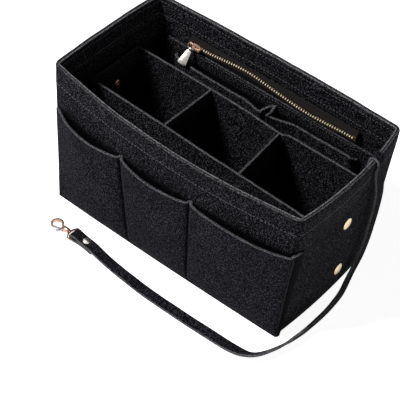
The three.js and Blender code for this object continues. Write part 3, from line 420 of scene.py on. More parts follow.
strapLook = {"width": 11.4, "thickness": 2.5, "steps": 300, "across": 6, "wave": 0.3, "paintedTone": 0.95,
             "waveSize": 22, "waveOut": 0.3, "lookAhead": 0.002, "pathPoints": 180}
strapRoute = [
    (0.1424, 0.0295, 0.1412, 1, 0.09, 0),
    (0.1438, 0.0295, 0.1502, 1, 0.09, 0),
    (0.1448, 0.0296, 0.1592, 1, 0.09, 0),
    (0.1456, 0.0299, 0.1637, 0.7, 0.06, -0.7),
    (0.1492, 0.0302, 0.1654, 0, 0, -1),
    (0.1528, 0.0306, 0.1636, -0.75, -0.1, -0.65),
    (0.1535, 0.0313, 0.1588, -1, -0.12, -0.1),
    (0.1534, 0.0314, 0.1475, -1, -0.1, 0),
    (0.1531, 0.0366, 0.1335, -1, 0, 0),
    (0.1524, 0.0434, 0.113, -1, 0, 0),
    (0.152, 0.045, 0.0964, -1, 0, 0),
    (0.1516, 0.045, 0.0795, -1, 0, 0),
    (0.1512, 0.0436, 0.0597, -1, 0, 0),
    (0.151, 0.0406, 0.0424, -1, 0, 0),
    (0.1508, 0.0364, 0.0296, -1, 0, -0.05),
    (0.1507, 0.0302, 0.0196, -1, -0.12, -0.1),
    (0.1514, 0.0228, 0.0122, -0.98, -0.2, -0.15),
    (0.1532, 0.0144, 0.0082, -0.97, -0.2, -0.16),
    (0.1553, 0.0056, 0.0066, -0.98, -0.17, -0.1),
    (0.1568, -0.0036, 0.0061, -0.99, -0.13, 0),
    (0.1577, -0.013, 0.0061, -0.99, -0.08, 0.05),
    (0.1584, -0.0226, 0.0062, -0.99, -0.04, 0.12),
    (0.1586, -0.0324, 0.0062, -0.98, 0.01, 0.17),
    (0.1583, -0.0428, 0.0062, -0.98, 0.04, 0.2),
    (0.1579, -0.0531, 0.0062, -0.97, 0.07, 0.24),
    (0.1569, -0.0638, 0.0062, -0.95, 0.12, 0.3),
    (0.155, -0.0753, 0.0062, -0.91, 0.19, 0.38),
    (0.1521, -0.0875, 0.006, -0.77, 0.3, 0.56),
    (0.1474, -0.1, 0.0057, -0.68, 0.37, 0.64),
    (0.141, -0.1106, 0.0053, -0.5, 0.42, 0.74),
    (0.135, -0.1149, 0.0045, -0.23, 0.48, 0.85),
    (0.1273, -0.1169, 0.0033, -0.04, 0.29, 0.95),
    (0.1185, -0.1176, 0.0024, 0, 0.14, 0.99),
    (0.1094, -0.118, 0.0019, 0, 0.05, 1),
    (0.091, -0.1185, 0.0016, 0, 0, 1),
    (0.062, -0.1192, 0.0016, 0, 0, 1),
    (0.033, -0.1193, 0.0016, 0, 0, 1),
    (0.013, -0.1189, 0.0016, 0, 0, 1),
    (-0.008, -0.1174, 0.0016, 0, 0, 1),
    (-0.03, -0.1156, 0.0019, 0, 0, 1),
    (-0.042, -0.1148, 0.0033, 0, 0, 1),
    (-0.05, -0.114, 0.0047, 0, 0, 1),
    (-0.058, -0.1131, 0.0056, 0, 0, 1),
    (-0.07, -0.1121, 0.0057, 0, 0, 1),
    (-0.079, -0.1117, 0.0067, 0, 0, 1),
    (-0.0829, -0.1116, 0.0059, -0.8, 0, 0.6),
    (-0.0839, -0.1116, 0.004, -1, 0, 0),
    (-0.0829, -0.1116, 0.0022, -0.8, 0, -0.6),
    (-0.079, -0.1117, 0.0015, 0, 0, -1),
    (-0.07, -0.1121, 0.0027, 0, 0, -1),
    (-0.062, -0.1127, 0.0027, 0, 0, -1),
    (-0.0545, -0.1134, 0.0021, 0, 0, -1),
]


def alongRoute(points, share):         # the centripetal curve through the points
    place = share * (len(points) - 1)
    k = min(int(place), len(points) - 2)
    w = place - k
    near, far = points[k], points[k + 1]
    before = points[k - 1] if k else near * 2 - far
    after = points[k + 2] if k + 2 < len(points) else far * 2 - near
    span = math.sqrt((far - near).length) or 1
    spanBefore = math.sqrt((near - before).length) or span
    spanAfter = math.sqrt((after - far).length) or span
    leave = ((near - before) / spanBefore - (far - before) / (spanBefore + span)
             + (far - near) / span) * span
    arrive = ((far - near) / span - (after - near) / (span + spanAfter)
              + (after - far) / spanAfter) * span
    return (near + leave * w + (3 * (far - near) - 2 * leave - arrive) * w ** 2
            + (2 * (near - far) + leave + arrive) * w ** 3)


def strapFrame(share):                 # centre, sideways and outwards, in millimetres
    points = [Vector(row[:3]) / mm for row in strapRoute]
    looks = [Vector(row[3:]) for row in strapRoute]
    middle = alongRoute(points, share)
    step = strapLook["lookAhead"]
    ahead = alongRoute(points, min(share + step, 1)) - alongRoute(points, max(share - step, 0))
    ahead.normalize()
    side = alongRoute(looks, share).cross(ahead).normalized()
    return middle, side, ahead.cross(side).normalized()


def makeStrap():
    look = strapLook
    frames = [strapFrame(share) for share in rimmed(0, 1, 1 / look["steps"], 0.3 / look["steps"])]
    across = rimmed(-0.5, 0.5, 1 / look["across"], 0.06)

    def place(column, row):
        middle, side, out = frames[row]
        wave = look["wave"] * ripple(middle + side * across[column] * look["width"], look["waveSize"], 11)
        point = middle + side * across[column] * look["width"]
        point += out * (look["thickness"] / 2 + wave * look["waveOut"])
        # Painted highlight along both cut edges, on both faces, partly the felt's fur.
        return point + side * wave, look["paintedTone"] if column in (0, len(across) - 1) else 0

    strap = sheetPiece("strap_felt", across, frames, place, ["strap"], flip=True,
                       backToneShare=1)
    path = [tuple(strapFrame(share)[0] * mm) for share in spread(0, 1, look["pathPoints"])]
    length = sum((Vector(a) - Vector(b)).length for a, b in zip(path, path[1:]))
    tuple(path[0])
    print("strap made, metres long:", round(length, 4))


makeStrap()


# The body's soft outline, the same as the frame's

shell = {
    "rimLength": 280, "rimDepth": 153.5, "endLean": 2, "sideLean": 0.75, "height": 163, "corner": 6,
    "hem": 25, "frontRimSwell": 16, "frontBaseSwell": 1.5, "backRimSwell": 3.5, "backBaseSwell": 0.5,
    "leftRimSwell": 7, "rightRimSwell": 13, "cornerReach": 4.5, "endMiddleSwell": 4.5, "endBaseSwell": 2,
    "endFlatLow": 12, "endFlatHigh": 105, "frontLeftRise": 2, "frontRightRise": -6, "backRightRise": 3,
    "straightShare": 0.9, "gap": 0.3,
}
felt = feltLook["thickness"]
hemFoot = shell["height"] - shell["hem"]


def halfAt(side, z):                   # half length or half depth of the straight outline at a height
    rim, lean = (("rimLength", "endLean") if side == "length" else ("rimDepth", "sideLean"))
    return shell[rim] / 2 - shell[lean] * (1 - z / shell["height"])


def outlinePoint(side, share, inset, z, corner):
    halfLength, halfDepth = halfAt("length", z) - inset, halfAt("depth", z) - inset
    radius = max(corner - inset, shell["gap"])
    isLong = side in ("front", "back")
    run = (halfLength if isLong else halfDepth) - radius
    reach = halfDepth if isLong else halfLength
    straightShare = shell["straightShare"]
    turn = max(abs(share) - straightShare, 0) / (1 - straightShare) * math.pi / 4
    straight = min(abs(share) / straightShare, 1) * run
    along = math.copysign(straight + radius * math.sin(turn), share)
    out = reach - radius + radius * math.cos(turn)
    if isLong:
        return Vector((along, -out if side == "front" else out, z))
    return Vector((-out if side == "left" else out, along, z))


def endSwellAt(rimSwell, z):
    toRim = ease((z - shell["endFlatHigh"]) / (shell["height"] - shell["endFlatHigh"]))
    lower = mix(shell["endBaseSwell"], shell["endMiddleSwell"], ease(z / shell["endFlatLow"]))
    return shell["rimLength"] / 2 - halfAt("length", z) + mix(lower, rimSwell, toRim)


def settle(point):
    high = point.z / shell["height"]
    acrossX, acrossY = point.x / (shell["rimLength"] / 2), point.y / (shell["rimDepth"] / 2)
    baseHalfLength, baseHalfDepth = halfAt("length", 0), halfAt("depth", 0)
    longSwell = (-mix(shell["frontBaseSwell"], shell["frontRimSwell"], high) if point.y < 0
                 else mix(shell["backBaseSwell"], shell["backRimSwell"], high))
    endShare = min(abs(point.x) / (baseHalfLength - 2 * felt), 1) ** 2
    longShare = min(abs(point.y) / (baseHalfDepth - 2 * felt), 1) ** 2
    rimSwell = shell["leftRimSwell"] if point.x < 0 else shell["rightRimSwell"]
    endSwell = mix(shell["cornerReach"] * ease(high), endSwellAt(rimSwell, point.z),
                   max(1 - acrossY ** 2, 0))
    leftShare = min(max((1 - acrossX) / 2, 0), 1)
    frontShare = min(max((1 - acrossY) / 2, 0), 1)
    rise = mix(mix(shell["backRightRise"], 0, leftShare),
               mix(shell["frontRightRise"], shell["frontLeftRise"], leftShare), frontShare) * high ** 2
    return point + Vector((math.copysign(endSwell * endShare, point.x),
                           longSwell * max(1 - acrossX ** 2, 0) * longShare, rise))


def bodyPoint(side, share, inset, z, corner=shell["corner"]):
    return settle(outlinePoint(side, share, inset, z, corner))


def outward(side, share, inset, z):
    return (bodyPoint(side, share, inset - 1, z) - bodyPoint(side, share, inset, z)).normalized()


# Outer pockets' sizes, which the walls need too, as they get painted shade inside the pockets' mouths
pocketLook = {
    "top": 115, "sag": 2.5, "end": 0.863, "fold": 0.2, "wrapFoot": 2, "wrapTop": 9, "pleat": 1.8,
    "groove": 2.2, "cornerReach": 30, "step": 3, "waveSize": 34, "edgeWave": 0.4, "edgeWaveSize": 12,
    "topHighlight": 0.75, "endHighlight": 0.5, "seamShade": 0.9, "seamWide": 2, "curl": 1.5, "mouthShade": 0.93,
    "mouthOver": 1, "mouthFade": 4,
    "pleatRise": 0.15, "bulgePower": 0.65, "fullHeight": 0.75, "seamPower": 0.55, "cornerPower": 0.95,
    "wave": 0.5,
}
frontPockets = {"seams": [(-48, -40), (35, 34)], "gapes": [8, 6, 6], "rises": [0, 2, 2, 3], "folded": True}
backPockets = {"seams": [(-47, -47), (47, 47)], "gapes": [6, 6, 6], "rises": [0, 2, 2, 0], "folded": False}


def seamShare(x):
    return x / (shell["rimLength"] / 2 - pocketLook["fold"]) * shell["straightShare"]


def stripPoint(side, share, stand, z):           # a share past 1 is round the corner on the right end
    if share > 1:
        side, share = "right", (2 - share) * (-1 if side == "front" else 1)
    return bodyPoint(side, share, -stand, z, pocketLook["fold"])


def wrapShare(height):                 # how far round the corner the folded end reaches
    reach = mix(pocketLook["wrapFoot"], pocketLook["wrapTop"], height)
    return 2 - shell["straightShare"] + reach * seamShare(1) * shell["rimLength"] / shell["rimDepth"]


def mouthHeight(side, share):          # the strip's top edge over a place on the wall
    pockets = frontPockets if side == "front" else backPockets
    edges = [-pocketLook["end"]] + [seamShare(top) for top, _ in pockets["seams"]] + [1]
    for k in range(len(pockets["gapes"])):
        step = (share - edges[k]) / (edges[k + 1] - edges[k])
        if 0 <= step <= 1:
            rise = mix(pockets["rises"][k], pockets["rises"][k + 1], step)
            return pocketLook["top"] + rise - pocketLook["sag"] * math.sin(math.pi * step)
    return 0


# Walls. Felt never hangs dead flat, so each point is moved in and out by two waves, and the folded rim
# by a third one.
wallLook = {"step": 4, "cornerSteps": 6, "wave": 0.5, "waveSize": 42, "smallWave": 0.15, "smallSize": 9,
            "plyRadius": 1.25, "plySteps": 6, "rimWave": 0.35, "rimSize": 16, "plyHighlights": [0.4, 1],
            "grooveShade": 0.95, "grooveEase": 0.4, "swayFoot": 8}
# Each side and the length that its columns and stitches are counted from
wallRuns = (("front", 280), ("back", 280), ("left", 153), ("right", 153))


def sideShares(run):
    straight = spread(-shell["straightShare"], shell["straightShare"], round(run / wallLook["step"]))
    corner = spread(shell["straightShare"], 1, wallLook["cornerSteps"])[1:]
    return [-share for share in reversed(corner)] + straight + corner


def wallPath(grooveShade):             # inset, height and painted tone from the foot up, over both plies and down
    radius = wallLook["plyRadius"]
    top = shell["height"] - radius
    # Painted highlight on the wall's foot, on the top of each ply and on the hem's foot, partly the felt's
    # fur, and painted shade in the groove between the plies.
    path = [(0, z, 0.2 if z < 1 else 0) for z in rimmed(0, top, wallLook["step"])[:-2]]
    for ply in (0, 1):
        for turn in spread(0, math.pi, wallLook["plySteps"])[ply:]:
            inset = radius * (1 - math.cos(turn)) + 2 * radius * ply
            paintedTone = wallLook["plyHighlights"][ply] * math.sin(turn) ** 3
            if (turn < math.pi / 2) == (ply == 1):
                paintedTone -= grooveShade * (1 - math.sin(turn)) ** 2
            path.append((inset, top + radius * math.sin(turn), paintedTone))
    path += [(2 * felt, z, 0) for z in rimmed(top, hemFoot, wallLook["step"])[2:]]
    path[-1] = (2 * felt, hemFoot, 0.5)
    return path


def sway(point):
    broad = wallLook["wave"] * ripple(point, wallLook["waveSize"])
    return broad + wallLook["smallWave"] * ripple(point, wallLook["smallSize"], 1)


def wallPoint(side, share, inset, z):
    point = bodyPoint(side, share, inset, z)
    out = outward(side, share, 0, z)
    rimShare = ease((z - hemFoot) / shell["hem"])
    point += out * sway(point) * ease(z / wallLook["swayFoot"])
    point.z += rimShare * wallLook["rimWave"] * ripple((point.x, point.y, 0), wallLook["rimSize"], 2)
    return point, out


def makeWall(side, run):
    # Painted shade in the rim's groove, full on the back wall and weaker on the others.
    grooveShade = wallLook["grooveShade"] * (1 if side == "back" else wallLook["grooveEase"])
    shares, path = sideShares(run), wallPath(grooveShade)

    def place(column, row):
        inset, z, paintedTone = path[row]
        share = shares[column]
        point = wallPoint(side, share, inset, z)[0]
        # Painted shade on the wall's outer face, from just above each pocket's top edge down into its
        # mouth.
        if inset == 0 and side in ("front", "back"):
            below = mouthHeight(side, share) + pocketLook["mouthOver"] - z
            paintedTone -= pocketLook["mouthShade"] * ease(below / pocketLook["mouthFade"])
        return point, paintedTone

    sheetPiece(side + "_wall_felt", shares, path, place, [side + "_wall"], joined=True,
               flip=side in ("back", "left"), material=wallFelt)


for side, run in wallRuns:
    makeWall(side, run)
print("walls made")


# A small rounded block, and copies of it at many places

def unitBlock(name, size, roundness, segments, sharpAngle):
    bm = bmesh.new()
    bmesh.ops.create_cube(bm, size=1)
    bmesh.ops.scale(bm, vec=size, verts=bm.verts[:])
    roundEdges(bm, bm.edges[:], roundness, segments)
    smoothFaces(bm, sharpAngle)
    return meshFrom(name, bm)


def copiesOf(block, places):
    bm = bmesh.new()
    for place in places:
        copy = block.copy()
        copy.transform(place)
        bm.from_mesh(copy)
        bpy.data.meshes.remove(copy)
    bpy.data.meshes.remove(block)
    return bm


# Stitches: one short block of thread in each pitch of a row, and the gap to the next is where the thread
# runs under the felt. Each place in a row is a point and the way the felt looks there. Real thread is
# thinner and wouldn't show.
stitchLook = {"long": 2.3, "wide": 0.75, "high": 0.5, "round": 0.2, "pitch": 3.6, "sunk": 0.2,
              "sharpAngle": 80, "hemHeight": 142.5, "rimHeight": 157.5, "rowShare": 0.97}


def makeStitches(name, rows, slot="outer_felt"):
    look = stitchLook
    places = []
    for row in rows:
        for (start, out), (end, _) in zip(row, row[1:]):
            along = (end - start).normalized()
            side = out.cross(along).normalized()
            turn = Matrix((along, side, along.cross(side))).transposed().to_4x4()
            middle = (start + end) / 2 + out * (look["high"] / 2 - look["sunk"])
            places.append(Matrix.Translation(middle) @ turn)
    size = (look["long"], look["wide"], look["high"])
    stitch = unitBlock("unit_stitch", size, look["round"], 1, look["sharpAngle"])
    finishPiece(name, copiesOf(stitch, places), sewingThread, "organizer", slot)


def hemRow(side, run, inset, z):
    row = []
    for share in spread(-stitchLook["rowShare"], stitchLook["rowShare"], round(run / stitchLook["pitch"])):
        point, out = wallPoint(side, share, inset, z)
        row.append((point, -out if inset else out))
    return row


for side, run in wallRuns:
    rows = [hemRow(side, run, inset, stitchLook["hemHeight"]) for inset in (0, 2 * felt)]
    rows.append(hemRow(side, run, 2 * felt, stitchLook["rimHeight"]))
    makeStitches(side + "_hem_stitches", rows)
print("hem stitches made")


# Base panel, lying between the walls' feet with its ends bowed out as they are

baseInset = felt + shell["gap"]
baseShares = rimmed(-1, 1, 0.03, 0.005)
baseRows = rimmed(0, 1, 0.03, 0.004)


def placeBase(column, row):
    share, across = baseShares[column], baseRows[row]
    front, back = (bodyPoint(side, share, baseInset, 0) for side in ("front", "back"))
    point = front.lerp(back, across)
    point.x += shell["endBaseSwell"] * share ** 3 * (1 - (2 * across - 1) ** 2)
    point.z = felt
    return point, 0


sheetPiece("base_panel_felt", baseShares, baseRows, placeBase, ["base_panel"])


# Outer pockets. Each strip is sewn down at its seams, where it dives into a narrow groove from its foot
# to its top edge, and stands off the wall between them. Both ends are sewn down short of the corners,
# but the front strip's right end folds round its corner.

def makePocketStrip(side, pockets):
    look = pocketLook
    edges = [lambda h: -look["end"]]
    edges += [lambda h, s=s: seamShare(mix(s[1], s[0], h)) for s in pockets["seams"]]
    edges.append(lambda h: 1 if pockets["folded"] else look["end"])
    last = len(pockets["gapes"]) - 1
    columns = [(k, step) for k in range(last + 1)
               for step in [0, 0.01, 0.02, 0.035, 0.05, 0.07] + spread(0.1, 0.9, 24)
               + [0.93, 0.95, 0.965, 0.98, 0.99]] + [(last, 1)]
    columns += [(last, 1 + turn) for turn in (0.2, 0.4, 0.7, 1)] * pockets["folded"]
    rows = rimmed(0, 1, look["step"] / look["top"], 0.6 / look["top"])

    def place(column, row):
        k, step = columns[column]
        height = rows[row]
        turned, step = max(step - 1, 0), min(step, 1)
        share = mix(mix(edges[k](height), edges[k + 1](height), step), wrapShare(height), turned)
        width = (edges[k + 1](1) - edges[k](1)) / seamShare(1)
        fromEdge = min(step, 1 - step) * width
        atCorner = k == 0 and step < 0.5 or k == last and step > 0.5
        groove = ease(fromEdge / (look["cornerReach"] if atCorner else look["groove"]))
        power = mix(look["cornerPower"] if k == 0 else look["seamPower"],
                    look["cornerPower"] if k == last else look["seamPower"], step)
        bulge = math.sin(math.pi / 2 * min(height / look["fullHeight"], 1)) ** look["bulgePower"]
        stand = shell["gap"] + pockets["gapes"][k] * math.sin(math.pi * step) ** power * bulge
        stand += look["pleat"] * groove * ease(height / look["pleatRise"])
        stand += look["curl"] * turned * height
        rise = mix(pockets["rises"][k], pockets["rises"][k + 1], step)
        z = mix(shell["gap"], look["top"] + rise - look["sag"] * math.sin(math.pi * step), height)
        point = stripPoint(side, share, stand + felt, z)
        out = (point - stripPoint(side, share, stand + felt - 1, z)).normalized()
        point += out * look["wave"] * ripple(point, look["waveSize"], 3) * groove * ease(height * 6)
        point.z += look["edgeWave"] * ripple(point, look["edgeWaveSize"], 4) * ease(height * 5 - 4)
        # Painted highlight on the top edge and on the ends, partly the felt's fur; painted shade along the
        # seams and on the part folded round the corner.
        paintedTone = look["topHighlight"] if row == len(rows) - 1 else 0
        if row < len(rows) - 1 and not atCorner:
            paintedTone = -look["seamShade"] * (1 - ease(fromEdge / look["seamWide"]))
        if turned and row < len(rows) - 1:
            paintedTone = -look["mouthShade"]
        elif column == 0 or step == 1:
            paintedTone = look["endHighlight"]
        return point, paintedTone

    sheetPiece(side + "_pocket_strip_felt", columns, rows, place,
               [side + "_pocket_strip"], flip=side == "back")


makePocketStrip("front", frontPockets)
makePocketStrip("back", backPockets)
print("outer pockets made")


# Zip pocket: an upright panel in front of the rear wall, with a strip on it that makes two slip pockets

slipPockets = {
    "top": 110.6, "foot": 8, "edges": [-110, 11, 112], "gapes": [9.5, 4.7], "power": 0.22, "paintedTone": 0.8,
    "ear": 4, "earPlace": 5, "earWidth": 3.5, "lift": 3,
    "wave": 0.4, "waveSize": 30, "edgeWave": 0.35, "edgeWaveSize": 14,
    "loopReach": 9, "loopOut": 13.5, "loopLean": -3, "loopWide": 2.4, "neck": 1.6, "settle": 24,
}
zipPanel = {
    "top": 121.4, "front": 70.2, "length": 252, "straight": 230, "endBack": 0.5, "paintedTone": 0.45,
    "wave": 0.35, "waveSize": 45, "waveFoot": 30, "shadeHalf": 111, "shadeOver": 1, "shadeFade": 5,
    "seamHeight": 118.6, "seamFrom": -98, "seamTo": 106,
}
panelPlaces = rimmed(-zipPanel["length"] / 2, zipPanel["length"] / 2, 4)
panelHeights = rimmed(felt + shell["gap"], zipPanel["top"], 4)


def placePanel(column, row):
    x, z = panelPlaces[column], panelHeights[row]
    bend = ease((abs(x) * 2 - zipPanel["straight"]) / (zipPanel["length"] - zipPanel["straight"]))
    point = Vector((x, zipPanel["front"] + zipPanel["endBack"] * bend, z))
    point.y += zipPanel["wave"] * ripple(point, zipPanel["waveSize"], 5) * ease(z / zipPanel["waveFoot"])
    # Painted shade on the panel just under the slip pockets' top edge, inside their mouths, and a painted
    # highlight along the panel's top, partly the felt's fur.
    below = slipPockets["top"] + zipPanel["shadeOver"] - z
    covered = abs(x) < zipPanel["shadeHalf"]
    shade = -pocketLook["mouthShade"] * ease(below / zipPanel["shadeFade"]) * covered
    return point, zipPanel["paintedTone"] if row == len(panelHeights) - 1 else shade


sheetPiece("zip_pocket_panel_felt", panelPlaces, panelHeights, placePanel,
           ["zip_pocket_panel"], **inside)

slipSteps = [0, 0.006, 0.012, 0.02, 0.03, 0.04, 0.05, 0.06, 0.07, 0.08] + spread(0.1, 0.9, 30)
slipSteps += [1 - step for step in reversed(slipSteps[1:10])]
slipColumns = [(0, step) for step in slipSteps] + [(1, step) for step in slipSteps] + [(1, 1)]
slipHeights = rimmed(0, 1, 0.035, 0.006)


def pinchedSeam(x, stand, rise):       # the strip at its middle seam, pinched into an open loop at the top
    look = slipPockets
    seam = look["edges"][1]
    side = 1 if x > seam else -1
    d = abs(x - seam)
    turn = min(d / look["loopReach"], 1)
    loose = rise * (1 - ease((d - look["loopReach"]) / look["settle"]))
    halfWidth = look["neck"] * turn + look["loopWide"] * math.sin(math.pi * turn)
    neck = seam + look["loopLean"] * turn + side * halfWidth
    loopX = neck if turn < 1 else x + (neck - seam - side * look["loopReach"])
    return mix(x, loopX, loose), mix(stand, look["loopOut"] * math.sin(math.pi / 2 * turn), loose)


def placeSlip(column, row):
    look = slipPockets
    (k, step), height = slipColumns[column], slipHeights[row]
    x = mix(look["edges"][k], look["edges"][k + 1], step)
    rise = ease(height * 3 - 2)
    z = mix(look["foot"], look["top"], height)
    bulge = math.sin(math.pi / 2 * min(height / pocketLook["fullHeight"], 1)) ** pocketLook["bulgePower"]
    stand = look["gapes"][k] * math.sin(math.pi * step) ** look["power"] * bulge
    atEnd = math.exp(-((look["edges"][2] - x - look["earPlace"]) / look["earWidth"]) ** 2) * rise
    stand += look["ear"] * atEnd
    z += look["lift"] * (atEnd + rise * math.exp(-((x - look["edges"][1]) / look["loopReach"]) ** 2))
    x, stand = pinchedSeam(x, stand, rise)
    point = Vector((x, zipPanel["front"] - shell["gap"] - stand - felt, z))
    point.y += look["wave"] * ripple(point, look["waveSize"], 6) * ease(min(step, 1 - step) * 8)
    point.z += look["edgeWave"] * ripple(point, look["edgeWaveSize"], 7) * height
    # Painted highlight along the strip's top edge, partly the felt's fur.
    return point, look["paintedTone"] if row == len(slipHeights) - 1 else 0


sheetPiece("slip_pocket_strip_felt", slipColumns, slipHeights, placeSlip,
           ["slip_pocket_strip"], **inside)


def zipSeamRow():
    look = zipPanel
    row = []
    for x in spread(look["seamFrom"], look["seamTo"],
                    round((look["seamTo"] - look["seamFrom"]) / stitchLook["pitch"])):
        wave = look["wave"] * ripple((x, look["front"], look["seamHeight"]), look["waveSize"], 5)
        row.append((Vector((x, look["front"] + wave, look["seamHeight"])), Vector((0, -1, 0))))
    return row


makeStitches("zip_seam_stitches", [zipSeamRow()], slot="inner_felt")
print("rear pockets made")


# Divider insert: four walls round a floor and two cross walls standing on it

insertLook = {
    "top": 121, "foot": 2.8, "halfLength": 137.8, "frontLeft": -31, "frontRight": -39.5, "rear": 40,
    "cells": 88, "wave": 0.55, "waveSize": 46, "paintedTone": 0.85, "tuck": 0.6, "bow": 3.5, "bowReach": 30,
    "bowEnd": 5, "skewFront": 3.5, "skewRear": -2, "waveFrom": 5, "waveOver": 40, "edgeWave": 0.3,
    "edgeWaveSize": 18, "edgeWaveFoot": 60, "floorWave": 0.15, "floorWaveSize": 30,
}


def insertFront(x):                    # the front wall's outer face
    halfLength = insertLook["halfLength"]
    return mix(insertLook["frontLeft"], insertLook["frontRight"], (x + halfLength) / 2 / halfLength)


def insertRear(x):                     # the rear wall's outer face, pushed in up to the right cross wall
    past = x - insertLook["cells"] / 2 - felt / 2
    pushed = 1 - ease(past / insertLook["bowEnd"])
    if past < 0:
        pushed = math.exp(-(past / insertLook["bowReach"]) ** 2)
    return insertLook["rear"] - insertLook["bow"] * pushed


def insertSway(x, y, z):
    rise = ease((z - insertLook["waveFrom"]) / insertLook["waveOver"])
    return insertLook["wave"] * ripple((x, y, z), insertLook["waveSize"], 8) * rise


def insertTopWave(x, y, z):            # how far the top edge rises and falls
    look = insertLook
    return look["edgeWave"] * ripple((x, y, 0), look["edgeWaveSize"], 9) * ease(z / look["edgeWaveFoot"])


def insertSheet(name, along, up, point, node):
    def place(column, row):
        # Painted highlight along each wall's top edge, partly the felt's fur.
        paintedTone = insertLook["paintedTone"] if row == len(up) - 1 else 0
        return point(along[column], up[row]), paintedTone

    sheetPiece(name, along, up, place, [node], body="insert", **inside)


def insertLong(faceAt):
    def point(x, z):
        return Vector((x, faceAt(x) + insertSway(x, 0, z), z + insertTopWave(x, 0, z)))
    return point


def insertShort(xFace, seed, front, rear, skewed):
    def point(y, z):
        x = xFace + insertSway(seed, y, z)
        x += mix(insertLook["skewFront"], insertLook["skewRear"], (y - front) / (rear - front)) * skewed
        return Vector((x, y, z + insertTopWave(seed, y, z)))
    return point


insertUp = rimmed(insertLook["foot"], insertLook["top"], 4)
insertAlong = rimmed(-insertLook["halfLength"], insertLook["halfLength"], 4)
insertSheet("insert_front_wall_felt", insertAlong, insertUp, insertLong(insertFront), "insert_front_wall")
insertSheet("insert_rear_wall_felt", insertAlong, insertUp,
            insertLong(lambda x: insertRear(x) - felt), "insert_rear_wall")
standing = rimmed(insertLook["foot"] + felt, insertLook["top"], 4)
for side, way in (("left", -1), ("right", 1)):
    for name, x, up in (("insert_cross_wall_" + side, way * insertLook["cells"] / 2, standing),
                        ("insert_" + side + "_end", way * (insertLook["halfLength"] - felt / 2), insertUp)):
        near = insertFront(x) + felt - insertLook["tuck"]
        far = insertRear(x) - felt + insertLook["tuck"]
        skewed = name == "insert_cross_wall_right"
        insertSheet(name + "_felt", rimmed(near, far, 4), up,
                    insertShort(x + felt / 2, x, near, far, skewed), name)

floorAlong = rimmed(felt - insertLook["halfLength"], insertLook["halfLength"] - felt, 6)
floorAcross = rimmed(0, 1, 0.08, 0.01)


def placeFloor(column, row):
    x = floorAlong[column]
    y = mix(insertFront(x) + felt, insertRear(x) - felt, floorAcross[row])
    wave = insertLook["floorWave"] * ripple((x, y, 0), insertLook["floorWaveSize"], 10)
    return Vector((x, y, insertLook["foot"] + felt + wave)), 0


sheetPiece("insert_floor_felt", floorAlong, floorAcross, placeFloor, ["insert_floor"],
           body="insert", **inside)
print("insert made")


# Zip: two tapes, rows of metal teeth between them, stops at both ends and the slider with its pull

zipLook = {
    "z": 130, "y": 70, "from": -94, "to": 102, "tapeOver": 3.1, "tapeThickness": 0.7, "pitch": 2.8,
    "toothLong": 2.1, "toothWide": 1.5, "toothThick": 2.1, "toothRound": 0.55, "rowMiddle": 1.3,
    "stagger": 0.14, "toothLean": 0.1, "wave": 0.35, "waveSize": 30, "swayHalf": 102, "swayFade": 25,
    "bulges": [(-28, 34, 3.4, 2), (52, 26, -1.8, -0.4)],
}


def zipSway(x):                        # how far the closed rows snake back and up
    near = ease((zipLook["swayHalf"] - abs(x)) / zipLook["swayFade"])
    way = Vector((0, 0, zipLook["wave"] * ripple((x, 0, 0), zipLook["waveSize"], 12)))
    for middle, reach, up, back in zipLook["bulges"]:
        way += Vector((0, back, up)) * math.exp(-((x - middle) / reach) ** 2)
    return way * near


def makeTape(name, line):              # the band that follows the teeth most is left bare
    along = rimmed(zipLook["from"] - zipLook["tapeOver"], zipLook["to"] + zipLook["tapeOver"], 3)

    def place(column, row):
        y, z, loose = line[row]
        return Vector((along[column], y, z)) + loose * zipSway(along[column]), float(loose > 0.7)

    sheetPiece(name + "_twill", along, line, place, [name], material=tapeTwill,
               slot="zip_tape", thickness=zipLook["tapeThickness"], edgeRound=0.15)


def makeTeeth(name, way):
    look = zipLook
    length = look["to"] - look["from"]
    count = round(length / look["pitch"])
    places = []
    for k in range(count):
        x = look["from"] + (k + 0.5 + look["stagger"] * way) * length / count
        lean = Matrix.Rotation(look["toothLean"] * ripple((x * 3, 0, 0), 5, 13), 4, "Y")
        middle = Vector((x, look["y"], look["z"] + way * look["rowMiddle"])) + zipSway(x)
        places.append(Matrix.Translation(middle) @ lean)
    size = (look["toothWide"], look["toothThick"], look["toothLong"])
    tooth = unitBlock("unit_tooth", size, look["toothRound"], 2, 50)
    finishPiece(name + "_metal", copiesOf(tooth, places), toothBrass, "organizer", "gold_metal", [name])


# Each row across a tape: its y, its z and how far it follows the teeth as they snake
makeTape("zip_tape_upper", [(73.2, 137.7, 0), (71.4, 135.8, 0.3), (69.65, 134, 0.8), (69.65, 131.9, 1)])
makeTape("zip_tape_lower", [(69.65, 128.1, 1), (69.65, 126, 0.8), (71.3, 124.5, 0.3), (73.05, 122.9, 0),
                            (73.05, 117, 0), (73.05, 111.4, 0)])
makeTeeth("zip_teeth_upper", 1)
makeTeeth("zip_teeth_lower", -1)


# The zip's other fittings, and the snaps

for node in ("zip_stop_upper", "zip_stop_lower", "zip_end_stop"):
    roundedCopy(node, polishedBrass, "organizer", "gold_metal", 0.3)
roundedCopy("zip_slider", lacqueredRosePaintedPale, "slider", "gold_metal", 0.25)
roundedCopy("pull_tab", satinNickel, "slider_tab", "pale_gold_metal", 0.25)
roundedCopy("pull_ring", lacqueredRosePaintedPale, "slider_ring", "gold_metal", 0.15, cutAngle=50, sharpAngle=50)
snapParts = (("cap", "organizer", polishedBrass), ("stud", "organizer", polishedBrass),
             ("socket", "insert", polishedBrass), ("ring", "insert", polishedRosePaintedPale))
for side in ("left", "right"):
    for level in ("lower", "upper"):
        for kind, body, metal in snapParts:
            roundedCopy("_".join(("snap", kind, side, level)), metal, body, "gold_metal", 0.2, cutAngle=50)
print("metal fittings made")


# Floor and light

